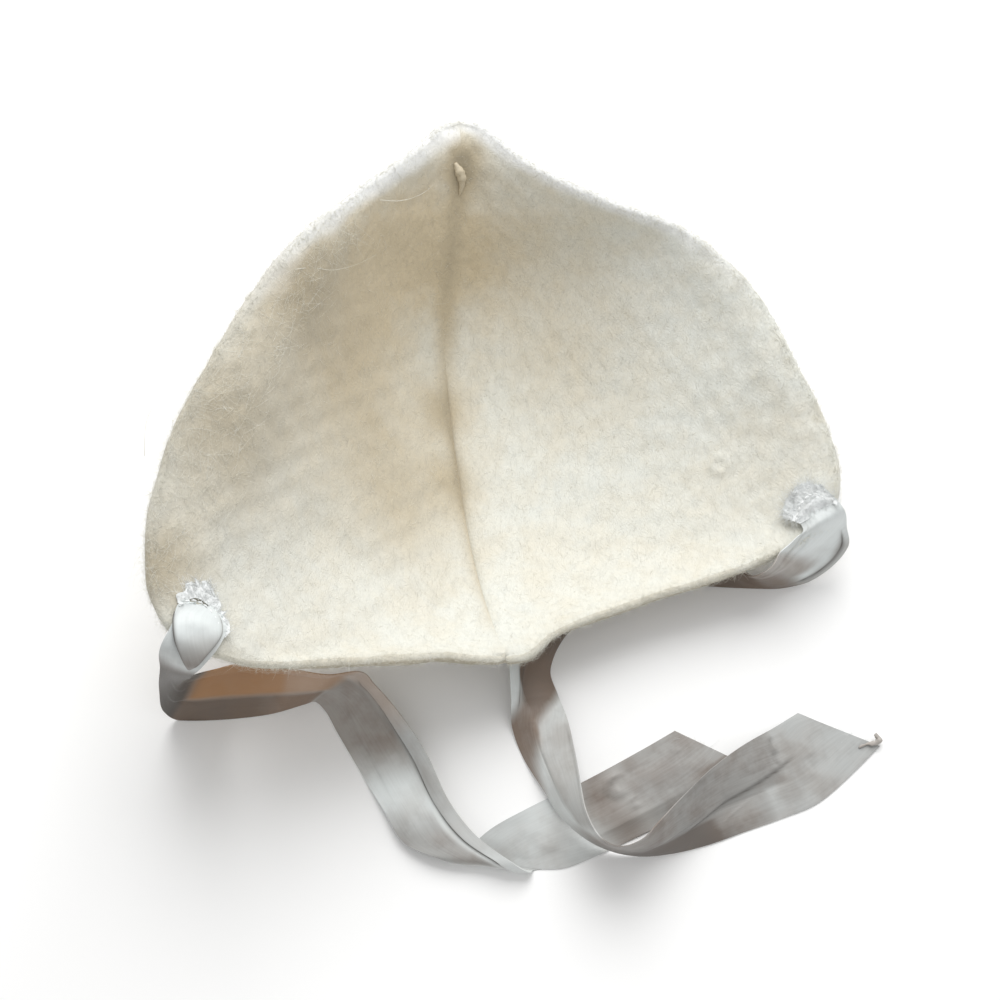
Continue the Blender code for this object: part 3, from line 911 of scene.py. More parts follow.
def matted_wool_group() -> bpy.types.NodeTree:
    """Builds the group that draws matted wool fibres.

    Returns:
        A group with the inputs Place and Grain, and the outputs Height, Fleck and Mottle.
    """
    bench, given = shader_group("matted_wool", {"Place": None, "Grain": 1.0}, ("Height", "Fleck", "Mottle"))
    place = bench.scaled(given["Place"], given["Grain"])
    bent = bench.moved(place, bench.scaled(bench.wander(place, 260.0), 0.004))
    strands = []
    for turn, scale in ((0.3, 1150.0), (1.4, 1400.0), (2.4, 1250.0)):
        turned = bench.stretched(bent, (1.0, 0.2, 0.6), (turn * 0.6, turn * 0.3, turn))
        ridge = bench.maths("ABSOLUTE", bench.maths("SUBTRACT", bench.noise(turned, scale, 1.0), 0.5))
        strands.append(bench.spread(ridge, 0.08, 0.0))
    fibre = bench.maths("MAXIMUM", bench.maths("MAXIMUM", strands[0], strands[1]), strands[2])
    lumps = bench.noise(place, 240.0, 4.0, 0.6)
    height = bench.plus(bench.times(fibre, 0.22), bench.times(lumps, 0.9))
    dashes = bench.stretched(bent, (1.0, 0.45, 1.0), (0.2, 0.1, 0.7))
    fleck = bench.spread(bench.noise(dashes, 1050.0, 2.0, 0.6), 0.38, 0.26)
    return bench.give({"Height": height, "Fleck": fleck, "Mottle": bench.noise(place, 120.0, 4.0, 0.6)})


def faint_knit_group() -> bpy.types.NodeTree:
    """Builds the group that draws the knitted loops that still show through the felt.

    Returns:
        A group with the inputs Cloth and Pitch, and the output Loops.
    """
    bench, given = shader_group("faint_knit", {"Cloth": None, "Pitch": 58.0}, ("Loops",))
    cloth = bench.scaled(given["Cloth"], given["Pitch"])
    cloth = bench.moved(cloth, bench.scaled(bench.wander(cloth, 0.35), 1.6))
    axes = bench.node("SeparateXYZ", {0: bench.scaled(cloth, 2 * math.pi)}).outputs
    loops = bench.times(bench.maths("SINE", axes[0]), bench.maths("SINE", axes[1]))
    patchy = bench.spread(bench.noise(cloth, 0.09, 2.0), 0.42, 0.62)
    return bench.give({"Loops": bench.times(loops, patchy)})


def age_stain_group() -> bpy.types.NodeTree:
    """Builds the group that draws soft stains and ageing.

    Returns:
        A group with the inputs Place, Size and Amount, and the output Stain.
    """
    bench, given = shader_group("age_stain", {"Place": None, "Size": 40.0, "Amount": 0.5}, ("Stain",))
    cloud = bench.noise(given["Place"], given["Size"], 4.0, 0.6)
    return bench.give({"Stain": bench.times(bench.spread(cloud, 0.4, 0.68), given["Amount"])})


def silk_weave_group() -> bpy.types.NodeTree:
    """Builds the group that draws fine silk threads along and across a ribbon.

    Returns:
        A group with the inputs Cloth and Threads, and the outputs Height and Streak.
    """
    bench, given = shader_group("silk_weave", {"Cloth": None, "Threads": 1.0}, ("Height", "Streak"))
    cloth = bench.scaled(given["Cloth"], given["Threads"])
    warp = bench.noise(bench.stretched(cloth, (520.0, 16.0, 1.0)), 1.0, 1.0)
    weft = bench.noise(bench.stretched(cloth, (14.0, 420.0, 1.0)), 1.0, 1.0)
    height = bench.plus(bench.times(warp, 0.5), bench.times(weft, 0.5))
    streak = bench.noise(bench.stretched(cloth, (150.0, 7.0, 1.0)), 1.0, 3.0, 0.6)
    return bench.give({"Height": height, "Streak": streak})


@dataclass(frozen=True)
class Effects:
    """The shader groups that the finishes share."""

    wool: bpy.types.NodeTree
    knit: bpy.types.NodeTree
    stain: bpy.types.NodeTree
    silk: bpy.types.NodeTree


def blank_material(name: str) -> tuple[bpy.types.Material, Bench, bpy.types.bpy_prop_collection]:
    """Starts a material.

    Args:
        name: The material's name.

    Returns:
        The material, a bench on its tree, and the outputs of its Texture Coordinate node.
    """
    material = bpy.data.materials.new(name)
    material.use_nodes = True
    bench = Bench(material.node_tree)
    return material, bench, bench.node("TexCoord").outputs


@dataclass(frozen=True)
class FeltFinish:
    """Cream wool, knitted and fulled until it mats, darkened and warmed by painted shade where its marks say."""

    name: str = "cream_felt"
    light: Colour = (0.71, 0.72, 0.67, 1.0)
    # Tints of yellowing with painted warm shade, and of painted shade.
    yellowing_and_painted_warm_shade: Colour = (0.655, 0.56, 0.395, 1.0)
    painted_shade_colour: Colour = (0.40, 0.345, 0.245, 1.0)
    # The pale rim's colour: whiter, less yellowed wool, partly painted light on the up-facing lip.
    pale: Colour = (0.79, 0.80, 0.805, 1.0)
    fleck: Colour = (0.40, 0.375, 0.30, 1.0)
    relief: float = 0.00032
    strength: float = 0.85

    def material(self, effects: Effects) -> bpy.types.Material:
        """Builds the finish.

        Args:
            effects: The shared shader groups.

        Returns:
            The material.
        """
        material, bench, place = blank_material(self.name)
        wool = bench.group(effects.wool, Place=place["Object"])
        knit = bench.group(effects.knit, Cloth=place["UV"])["Loops"]
        stain = bench.group(effects.stain, Place=place["Object"], Size=26.0, Amount=0.16)["Stain"]
        mottle = bench.times(bench.spread(wool["Mottle"], 0.36, 0.66), 0.16)
        # Yellowing, stains and mottling with painted warm shade, then painted shade.
        yellowing_and_painted_warm_shade_sum = bench.plus(bench.plus(bench.mark("yellowing_and_painted_warm_shade"), stain), mottle)
        body = bench.mix(yellowing_and_painted_warm_shade_sum, self.light, self.yellowing_and_painted_warm_shade)
        body = bench.mix(bench.mark("painted_shade"), body, self.painted_shade_colour)
        body = bench.mix(bench.mark("pale"), body, self.pale)
        dark = bench.plus(bench.times(wool["Fleck"], 0.36), bench.times(knit, 0.05))
        body = bench.mix(dark, body, self.fleck)
        height = bench.plus(wool["Height"], bench.times(knit, -0.07))
        bench.surface({
            "Base Color": body, "Normal": bench.relief(height, self.relief, self.strength),
            "Roughness": 0.95, "Specular IOR Level": 0.12, "Sheen Weight": 0.25, "Sheen Roughness": 0.55,
        })
        return material


@dataclass(frozen=True)
class ThreadFinish:
    """Single wool hairs or raw silk threads, a little paler than the cloth that they stand on."""

    name: str
    pale: Colour
    deep: Colour
    roughness: float = 0.8
    grain: float = 1.4
    relief: float = 0.0001
    strength: float = 0.3

    def material(self, effects: Effects) -> bpy.types.Material:
        """Builds the finish.

        Args:
            effects: The shared shader groups.

        Returns:
            The material.
        """
        material, bench, place = blank_material(self.name)
        wool = bench.group(effects.wool, Place=place["Object"], Grain=self.grain)
        body = bench.mix(bench.spread(wool["Mottle"], 0.3, 0.7), self.pale, self.deep)
        normal = bench.relief(wool["Height"], self.relief, self.strength)
        bench.surface({"Base Color": body, "Normal": normal, "Roughness": self.roughness, "Specular IOR Level": 0.2})
        return material


@dataclass(frozen=True)
class SatinFinish:
    """Ivory silk satin, greyed and stained with age, and darkened by painted shade, painted warm shade and painted
    shadow lines from its marks.
    """

    name: str = "ivory_satin"
    light: Colour = (0.735, 0.775, 0.77, 1.0)
    # Tints of greying with painted shade, of brown staining with painted warm shade, and of painted shadow lines.
    greying_and_painted_shade: Colour = (0.165, 0.155, 0.145, 1.0)
    tan: Colour = (0.385, 0.21, 0.10, 1.0)
    line: Colour = (0.085, 0.075, 0.065, 1.0)
    relief: float = 0.00006
    strength: float = 0.5

    def material(self, effects: Effects) -> bpy.types.Material:
        """Builds the finish.

        Args:
            effects: The shared shader groups.

        Returns:
            The material.
        """
        material, bench, place = blank_material(self.name)
        silk = bench.group(effects.silk, Cloth=place["UV"])
        cloud = bench.group(effects.stain, Place=place["Object"], Size=75.0, Amount=0.16)["Stain"]
        blush = bench.group(effects.stain, Place=place["Object"], Size=38.0, Amount=0.08)["Stain"]
        streak = bench.spread(silk["Streak"], 0.3, 0.75)
        # Greying with painted shade, streaks and age stains; then brown staining with painted warm shade; then
        # painted shadow lines.
        greying_painted_shade_and_streaks = bench.plus(bench.mark("greying_and_painted_shade"), bench.times(streak, 0.07))
        body = bench.mix(bench.plus(greying_painted_shade_and_streaks, cloud), self.light, self.greying_and_painted_shade)
        body = bench.mix(bench.plus(bench.mark("tan"), blush), body, self.tan)
        body = bench.mix(bench.mark("line"), body, self.line)
        gloss = bench.node("MapRange", {"Value": silk["Streak"], "To Min": 0.46, "To Max": 0.6}).outputs["Result"]
        bench.surface({
            "Base Color": body, "Normal": bench.relief(silk["Height"], self.relief, self.strength),
            "Roughness": gloss, "Specular IOR Level": 0.4, "Sheen Weight": 0.2, "Sheen Roughness": 0.35,
        })
        return material


@dataclass
class FeltPanel:
    """One side panel of the bonnet: a felt wall from the seam to its soft free edge, with its hairs."""

    name: str
    edge_rows: Sequence[EdgeRow]
    side: Side
    folds: Sequence[FoldRow]
    flat: tuple[float, float]
    flat_area: float
    rests_on: tuple[str, ...]
    lip_reach: float
    pale_rows: float
    neck_row: float
    seed: int
    thickness: float = 3.0
    mitre: float = 7.0
    steps: int = 14
    columns: int = 118
    rim: float = 1.4
    rim_steps: int = 7
    lip_width: float = 3.2
    unevenness: float = 0.24
    peak_swell: float = 1.6
    swell_row: float = 1.3
    swell_rows: float = 0.85
    end_roll: float = 6.0
    end_turn: float = 6.0
    end_round: float = 4.0
    valley_reach: float = 30.0
    groove: float = 0.9
    groove_width: float = 1.3
    nap_hairs: int = 5600
    rim_hairs: int = 4600
    nap: HairKind = HairKind(1.4, 4.2, 0.3, 0.5, 0.03)
    fringe: HairKind = HairKind(1.2, 3.8, 0.9, 0.55, 0.035)
    loose: HairKind = HairKind(4.0, 10.0, 0.3, 0.7, 0.035, knots=7)
    loose_hairs: int = 0

    def seam(self) -> np.ndarray:
        """Gives the inner line of the seam."""
        return through([(SEAM_OFFSET + SEAM_TURN * r.y + SEAM_LEAN * r.z, r.y, r.z) for r in SEAM], self.steps)

    def seam_numbers(self, kind: str) -> np.ndarray:
        """Gives one number of the seam's rows, fill or lip, at each sampled row."""
        return between([getattr(row, kind) for row in SEAM], self.steps)[:, None]

    def plane(self) -> np.ndarray:
        """Gives the direction square to the seam's plane, towards this panel."""
        return self.side.value * unit(np.array((1.0, -SEAM_TURN, -SEAM_LEAN)))

    def inward(self) -> np.ndarray:
        """Gives the direction into the bonnet at each point of the seam, in the seam's plane."""
        return self.side.value * unit(np.cross(np.gradient(self.seam(), axis=0), self.plane()))

    def felt_surface(self) -> np.ndarray:
        """Shapes the inner surface as the part's source does.

        Returns:
            The surface as a grid.
        """
        side = self.side.value
        seam = self.seam()
        ends = [tuple(seam[0]), tuple(seam[-1])]
        edge = through([ends[0], *[row[1:4] for row in self.edge_rows], ends[1]], self.steps)
        samples = np.arange(len(edge))
        swell = np.exp(-(((samples / self.steps - self.swell_row) / self.swell_rows) ** 2)) * smooth(samples / 5.0)
        edge[:, 1] += self.peak_swell * swell
        belly, curl, roll = (between([end, *[getattr(row, kind) for row in self.edge_rows], end], self.steps)
                             for kind, end in (("belly", 0.0), ("curl", 0.0), ("roll", self.end_roll)))
        along = unit(np.gradient(seam, axis=0))
        out = side * np.cross(unit(edge - seam), along)
        out[0], out[-1] = out[1], out[-2]
        out = unit(out)
        base_end = edge - out * curl[:, None]
        length = np.linalg.norm(edge - seam, axis=1)
        roll = np.minimum(roll, 0.7 * length) + 1e-6
        even = np.linspace(0, 1, self.columns)
        column = 0.55 * even + 0.225 * (1 - np.cos(math.pi * even))
        reach = 1 - np.minimum(self.rim, 0.3 * length) / np.maximum(length, 1e-6)
        u = column[None, :] * reach[:, None]
        rolled = np.clip(1 - (1 - u) * length[:, None] / roll[:, None], 0, 1) ** 2
        bulge = belly[:, None] * 4 * u * (1 - u) * (1.25 - 0.5 * u)
        grid = ruled(seam, base_end, u)
        grid += out[:, None] * (bulge + curl[:, None] * rolled)[..., None]
        clear = np.minimum(length / 20.0, 1.0)[:, None] * np.minimum(u / 0.12, 1.0)
        for fold in self.folds:
            grid += (self.fold_sink(grid, fold, column) * clear)[..., None] * out[:, None]
        return grid

    def fold_sink(self, grid: np.ndarray, fold: FoldRow, column: np.ndarray) -> np.ndarray:
        """Works out how far each point sinks for a fold.

        Args:
            grid: The surface.
            fold: The fold.
            column: The place of each column, from 0 at the seam to 1 at the edge.

        Returns:
            The depth at each point.
        """
        ends = []
        for row, place in ((fold.row_1, fold.column_1), (fold.row_2, fold.column_2)):
            line = grid[int(round(row * self.steps))]
            ends.append([np.interp(place, column, line[:, axis]) for axis in range(3)])
        start, end = np.array(ends)
        span = end - start
        share = np.clip(((grid - start) @ span) / (span @ span), 0, 1)
        distance = np.linalg.norm(grid - (start + share[..., None] * span), axis=-1)
        return fold.depth * np.exp(-((distance / fold.width) ** 2))

    def outer_surface(self, inner: np.ndarray) -> np.ndarray:
        """Lays the outer surface at the felt's thickness, mitred onto the plane of the seam.

        Args:
            inner: The inner surface.

        Returns:
            The outer surface.
        """
        away = -self.inward()
        normals = grid_normals(inner) * self.side.value
        normals[0], normals[-1] = away[0], away[-1]
        if np.sum(normals[:, self.columns // 2] * away) < 0:
            normals = -normals
            normals[0], normals[-1] = away[0], away[-1]
        distance = np.abs((inner - inner[0, 0]) @ self.plane())
        share = smooth(distance / self.mitre)[..., None]
        lean = unit(away[:, None] * (1 - share) + normals * share)
        return inner + self.thickness * lean

    def dressed(self, inner: np.ndarray, outer: np.ndarray) -> tuple[np.ndarray, np.ndarray]:
        """Adds the rounded valley, the lip beside the seam and the felt's unevenness.

        Args:
            inner: The inner surface.
            outer: The outer surface.

        Returns:
            Both surfaces, changed.
        """
        inward = self.inward()
        fill = self.seam_numbers("fill")
        distance = lengths_along(inner, 1)
        rise = np.maximum(np.einsum("ijk,ik->ij", inner - self.seam()[:, None], inward), 0.0)
        valley = np.sqrt(rise**2 + fill**2) - rise
        length = distance[:, -1:]
        span = np.maximum(np.minimum(self.valley_reach, length), 1e-6)
        valley *= smooth(1 - distance / span) * self.opening()[:, None]
        thick = unit(inner - outer)
        raised = 0.0
        if self.side is Side.RIGHT:
            share = distance / self.lip_width
            raised = self.seam_numbers("lip") * share * np.exp(1 - share) + self.dimple(inner)
        felt = Undulation(11, 7.0, 26.0).at(inner) * self.unevenness
        felt += Undulation(12, 2.6, 6.0, 24).at(inner) * self.unevenness * 0.4
        near_seam = smooth(distance / 5.0)
        inner = inner + inward[:, None] * valley[..., None] + thick * (raised + felt * near_seam)[..., None]
        back = Undulation(13, 6.0, 22.0).at(outer) * self.unevenness * near_seam
        groove = self.groove * np.exp(-((distance / self.groove_width) ** 2))
        outer = outer + thick * (groove - back)[..., None]
        outer[..., 2] = np.maximum(outer[..., 2], FLOOR_GAP)
        return inner, outer

    def opening(self) -> np.ndarray:
        """Gives how far the valley has opened at each row, from 0 at the peak to 1."""
        return smooth(np.arange(len(self.seam())) / self.steps / 1.5)

    def dimple(self, inner: np.ndarray) -> np.ndarray:
        """Raises the small dimpled lump in the right panel and gives the height at each point."""
        distance = np.linalg.norm(inner - np.array(DIMPLE), axis=-1)
        return 0.75 * np.exp(-((distance - 2.6) ** 2) / 1.6) - 0.5 * np.exp(-(distance**2) / 2.0)

    def rim_arc(self, inner: np.ndarray, outer: np.ndarray) -> np.ndarray:
        """Rounds the free edge from the inner to the outer surface.

        Args:
            inner: The inner surface.
            outer: The outer surface.

        Returns:
            The points of the arc for each row, without its two ends.
        """
        along = unit(np.gradient(self.seam(), axis=0))
        first, last = inner[:, -1], outer[:, -1]
        middle, half = (first + last) / 2, (last - first) / 2
        outward = first - inner[:, -4]
        edge_run = unit(np.gradient(middle, axis=0))
        outward -= edge_run * np.sum(outward * edge_run, axis=1, keepdims=True)
        outward -= unit(half) * np.sum(outward * unit(half), axis=1, keepdims=True)
        outward = unit(outward)
        run = np.linalg.norm(np.diff(first, axis=0), axis=1)
        travel = np.concatenate(([0.0], np.cumsum(run)))
        head = smooth(travel / self.end_turn)[:, None]
        foot = smooth((travel[-1] - travel) / self.end_turn)[:, None]
        outward = unit(outward * head + -along * (1 - head))
        outward = unit(outward * foot + along * (1 - foot))
        ends = smooth(np.minimum(travel, travel[-1] - travel) / self.end_round)[:, None]
        radius = np.linalg.norm(half, axis=1, keepdims=True) * (0.6 + 0.4 * ends)
        arc = []
        for k in range(1, self.rim_steps):
            angle = math.pi * k / self.rim_steps
            arc.append(middle - half * math.cos(angle) + outward * radius * math.sin(angle) * 0.95)
        arc = np.stack(arc, axis=1)
        arc[..., 2] = np.maximum(arc[..., 2], FLOOR_GAP)
        return arc

    def tones(self, rings: np.ndarray, inner_columns: int, across: np.ndarray) -> dict[str, np.ndarray]:
        """Works out where the felt is yellower, where painted shade darkens and warms it, and where its rim is paler.

        Args:
            rings: The panel's points.
            inner_columns: How many columns belong to the inner surface.
            across: How far each point lies from the seam.

        Returns:
            The marks of yellowing with painted warm shade, of painted shade, and of the pale rim.
        """
        # Each tone adds yellowing with painted warm shade, and painted shade.
        yellowing_and_painted_warm_shade, painted_shade = np.zeros(rings.shape[:2]), np.zeros(rings.shape[:2])
        for tone in TONES:
            near = np.exp(-np.sum((rings - np.array(tone.centre)) ** 2, axis=-1) / tone.size**2)
            yellowing_and_painted_warm_shade, painted_shade = yellowing_and_painted_warm_shade + near * tone.yellowing_and_painted_warm_shade, painted_shade + near * tone.painted_shade
        edge = across[:, inner_columns - 1 : inner_columns]
        reach = self.lip_reach * (1 + 0.3 * Undulation(self.seed, 6.0, 26.0).at(rings))
        rim = 1 - smooth((edge - across) / reach)
        rim[:, inner_columns:] = 1.0
        yellowing_and_painted_warm_shade *= 1 - 0.85 * rim * np.minimum(edge / 20.0, 1.0)
        row = (np.arange(len(rings)) / self.steps)[:, None]
        # Paler, less yellowed wool along the upper rim, partly painted light on the up-facing lip.
        pale = rim * (1 - smooth((row - self.pale_rows) / 2.5)) * smooth((edge + 4.0) / 10.0)
        painted_shade *= 1 - 0.8 * pale
        fill, lip = self.seam_numbers("fill"), self.seam_numbers("lip")
        # Painted shade and its warm tint in the rounded channel along the crown's seam.
        valley = np.exp(-((across / 3.6) ** 2)) * smooth((fill - 0.8) / 3.0) * smooth((row - 0.8) / 1.2)
        yellowing_and_painted_warm_shade, painted_shade = yellowing_and_painted_warm_shade + 0.4 * valley, painted_shade + 0.42 * valley
        if self.side is Side.LEFT:
            # Painted shadow with a warm tint along the left side of the seam's crease.
            painted_seam_shadow = (0.6 * np.exp(-((across / 3.4) ** 2)) + 0.6 * np.exp(-across / 0.7)) * smooth(lip / 1.6)
            painted_shade += 0.9 * painted_seam_shadow * (0.45 + 0.55 * smooth((9.0 - row) / 2.5))
            yellowing_and_painted_warm_shade += 0.3 * painted_seam_shadow
        # Painted shade along the neck edge's rim, strongest on its outer half.
        painted_neck_shade = smooth((row - self.neck_row) / 1.2)
        painted_shade[:, inner_columns - 1 :] += 0.3 * painted_neck_shade
        painted_shade[:, inner_columns + 3 :] += 0.5 * painted_neck_shade
        # The outer face is made evenly darker and a little yellower through the same marks.
        outside = smooth((np.arange(rings.shape[1]) - inner_columns - self.rim_steps) / 6.0)[None, :]
        pale, yellowing_and_painted_warm_shade, painted_shade = pale * (1 - outside), yellowing_and_painted_warm_shade + 0.16 * outside, painted_shade + 0.32 * outside
        return {"yellowing_and_painted_warm_shade": np.clip(yellowing_and_painted_warm_shade, 0, 1), "painted_shade": np.clip(painted_shade, 0, 1), "pale": np.clip(pale, 0, 1) * 0.8}

    def hairs(self, rings: np.ndarray, inner_columns: int, wool: bpy.types.Material) -> None:
        """Grows the nap on both faces and the fuzz along the free edge.

        Args:
            rings: The panel's points.
            inner_columns: How many columns belong to the inner surface.
            wool: The hairs' material.
        """
        draw = np.random.default_rng(self.seed)
        normals = grid_normals(rings)
        outward = unit(rings[:, inner_columns + 2] - (rings[:, inner_columns - 2] + rings[:, inner_columns + 6]) / 2)
        if np.sum(normals[:, inner_columns + 2] * outward) < 0:
            normals = -normals
        place = np.arange(rings.shape[1])
        edge_share = np.clip(1 - np.abs(place - inner_columns) / 26.0, 0, 1)
        weight = np.broadcast_to(0.45 + 1.6 * edge_share, rings.shape[:2]) * (0.6 + 0.4 * (place < inner_columns))
        fur("wool_nap_" + self.name, rings, normals, self.nap_hairs, self.nap, draw, wool, weight)
        rim = np.s_[:, inner_columns - 3 : inner_columns + self.rim_steps + 2]
        fur("rim_fuzz_" + self.name, rings[rim], normals[rim], self.rim_hairs, self.fringe, draw, wool)
        if self.loose_hairs:
            band = np.s_[3 * self.steps : 9 * self.steps, inner_columns - 30 : inner_columns + 3]
            fur("loose_wool_" + self.name, rings[band], normals[band], self.loose_hairs, self.loose, draw, wool)

    def build(self, felt: bpy.types.Material, wool: bpy.types.Material) -> bpy.types.Object:
        """Builds the panel and its hairs.

        Args:
            felt: The felt's material.
            wool: The hairs' material.

        Returns:
            The piece, which replaces the CAD node of the same name.
        """
        base = self.felt_surface()
        inner, outer = self.dressed(base, self.outer_surface(base))
        rings = np.concatenate((inner, self.rim_arc(inner, outer), outer[:, ::-1]), axis=1)
        across = lengths_along(rings, 1)
        down = np.broadcast_to(lengths_along(self.seam()[:, None], 0), across.shape)
        skin = Skin(self.name, rings, np.stack((across, down), axis=-1), self.tones(rings, self.columns, across))
        made = piece("felt_" + self.name, skin.mesh(), felt)
        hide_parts(self.name)
        self.hairs(rings, self.columns, wool)
        return made


@dataclass
class RibbonTie:
    """One ribbon: a thin satin strip from its stitched end to its free end."""

    name: str
    rows: Sequence[RibbonRow]
    pleats: Sequence[PleatRow]
    stains: Sequence[StainRow]
    wrinkles: Sequence[WrinkleRow]
    crease: float
    length: float
    ruffled: float
    seed: int
    width: float = 25.0
    thickness: float = 0.36
    steps: int = 16
    columns: int = 64
    floor_gap: float = 0.35
    unevenness: float = 0.22
    pleat_end: float = 0.6
    pleat_step: float = 0.9
    pleat_fall: float = 6.0
    row_run: float = 20.0
    stain_edge: float = 1.1
    stain_side: float = 0.14
    threads: int = 60
    fray: HairKind = HairKind(1.0, 4.0, 0.15, 0.5, 0.04, droop=1.0)

    def middle_surface(self) -> tuple[np.ndarray, np.ndarray, np.ndarray]:
        """Shapes the ribbon's middle surface.

        Returns:
            The surface as a grid, its rows' places in the table, and its columns' places across.
        """
        half = self.columns // 2
        places = np.hstack((np.linspace(0, self.crease, half + 1), np.linspace(self.crease, 1, half + 1)[1:]))
        edge_1, edge_2 = both_edges(self.rows, self.steps)
        sink = between([row.sink for row in self.rows], self.steps)
        along = unit(np.gradient((edge_1 + edge_2) / 2, axis=0))
        down = unit(np.cross(edge_2 - edge_1, along))
        share = np.interp(places, (0.0, self.crease, 1.0), (0.0, 1.0, 0.0))
        share = share - 0.12 * np.sin(math.pi * share) * (share > 0)
        flat = ruled(edge_1, edge_2, places[None])
        rows = np.arange(len(flat)) / self.steps
        return flat + down[:, None] * (sink[:, None] * share)[..., None], rows, places

    def pleated(self, rows: np.ndarray, places: np.ndarray) -> tuple[np.ndarray, np.ndarray]:
        """Works out the pleats, the wrinkles and the ruffled end.

        Args:
            rows: Each row's place in the table.
            places: Each column's place across.

        Returns:
            How far each point rises, and how dark the painted shadow of its pleat and wrinkle lines is.
        """
        rise, line = np.zeros((len(rows), len(places))), np.zeros((len(rows), len(places)))
        for pleat in self.pleats:
            share = np.clip((rows - pleat.row_1) / (pleat.row_2 - pleat.row_1), 0, 1)
            middle = pleat.place_1 + (pleat.place_2 - pleat.place_1) * share
            middle = middle + 0.014 * np.sin(rows * 1.7 + self.seed)
            inside = smooth((rows - pleat.row_1) / self.pleat_end) * smooth((pleat.row_2 - rows) / self.pleat_end)
            offset = (places[None, :] - middle[:, None]) * self.width
            step = smooth(offset / self.pleat_step) * np.exp(-np.maximum(offset, 0) / self.pleat_fall)
            rise += pleat.height * inside[:, None] * step
            shadow = np.exp(-np.abs(offset) / 0.4) + 0.15 * np.exp(-np.abs(offset) / 1.6) * (offset < 0)
            line = np.maximum(line, pleat.dark * inside[:, None] * shadow)
        for wrinkle in self.wrinkles:
            along = (rows[:, None] - wrinkle.row) * self.row_run
            side = (places[None, :] - wrinkle.place) * self.width
            ring = np.hypot(along, side)
            reach = smooth(0.6 - along / (1.6 * wrinkle.size))
            rise += wrinkle.height * reach * np.exp(-(((ring - wrinkle.size) / (0.4 * wrinkle.size)) ** 2))
            # Painted shadow in the wrinkle's hollow.
            dark = 0.6 * min(1.0, abs(wrinkle.height)) * reach
            line = np.maximum(line, dark * np.exp(-(((ring - 0.85 * wrinkle.size) / 0.8) ** 2)))
        fade = smooth(1 - rows / self.ruffled)[:, None]
        rise += fade * 0.35 * np.sin(places[None, :] * 31.0 + 2.0 * np.sin(rows * 9.0)[:, None])
        return rise, np.clip(line, 0, 1)

    def stained(self, rows: np.ndarray, places: np.ndarray) -> dict[str, np.ndarray]:
        """Works out the stains.

        Args:
            rows: Each row's place in the table.
            places: Each column's place across.

        Returns:
            The marks of brown staining with painted warm shade, of greying with painted shade, and of painted shadow
            lines.
        """
        marks = {mark: np.zeros((len(rows), len(places))) for mark in ("tan", "greying_and_painted_shade", "line")}
        where = np.stack(np.broadcast_arrays(rows[:, None] * 18.0, places[None, :] * self.width), axis=-1)
        drift = Undulation(self.seed + 1, 24.0, 60.0).at(where)
        for stain in self.stains:
            at = rows[:, None] + 0.15 * drift + stain.slant * (places[None, :] - 0.5)
            side = places[None, :] + 0.02 * drift
            inside = 1.0
            for gap, width in ((at - stain.row_1, self.stain_edge), (stain.row_2 - at, self.stain_edge),
                               (side - stain.place_1, self.stain_side), (stain.place_2 - side, self.stain_side)):
                inside = inside * smooth(gap / width + 0.5)
            for mark in marks:
                marks[mark] = np.maximum(marks[mark], inside * getattr(stain, mark))
        return marks

    def build(self, satin: bpy.types.Material, silk: bpy.types.Material) -> bpy.types.Object:
        """Builds the ribbon and the loose threads of its cut end.

        Args:
            satin: The satin's material.
            silk: The threads' material.

        Returns:
            The piece, which replaces the CAD node of the same name.
        """
        grid, rows, places = self.middle_surface()
        cloth = cloth_places(grid)
        normals = grid_normals(grid)
        along = unit(np.gradient(grid, axis=0))
        down = unit(np.cross(grid[:, -1:] - grid[:, :1], along))
        normals *= np.sign(np.sum(normals * down, axis=-1, keepdims=True))
        rise, line = self.pleated(rows, places)
        waves = Undulation(self.seed, 9.0, 30.0).at(cloth * np.array((1.0, 0.45))) * self.unevenness
        grid = grid - normals * (rise + waves)[..., None]
        grid[..., 2] -= self.floor_gap * np.exp(-np.maximum(grid[..., 2] - 0.6, 0) / 3.0)
        grid[..., 2] = np.maximum(grid[..., 2], FLOOR_GAP + self.thickness / 2)
        half = normals * self.thickness / 2
        rings = around(grid + half, grid - half)
        rings[..., 2] = np.maximum(rings[..., 2], FLOOR_GAP)
        marks = self.stained(rows, places)
        # The pleats' painted shadow lines join the stains' marks.
        marks["line"] = np.maximum(marks["line"], line)
        marks = {mark: around(values, values) for mark, values in marks.items()}
        skin = Skin(self.name, rings, around(cloth, cloth), marks)
        made = piece("satin_" + self.name, skin.mesh(), satin)
        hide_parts(self.name)
        draw = np.random.default_rng(self.seed)
        fur("cut_threads_" + self.name, grid[-3:], -normals[-3:], self.threads, self.fray, draw, silk)
        return made


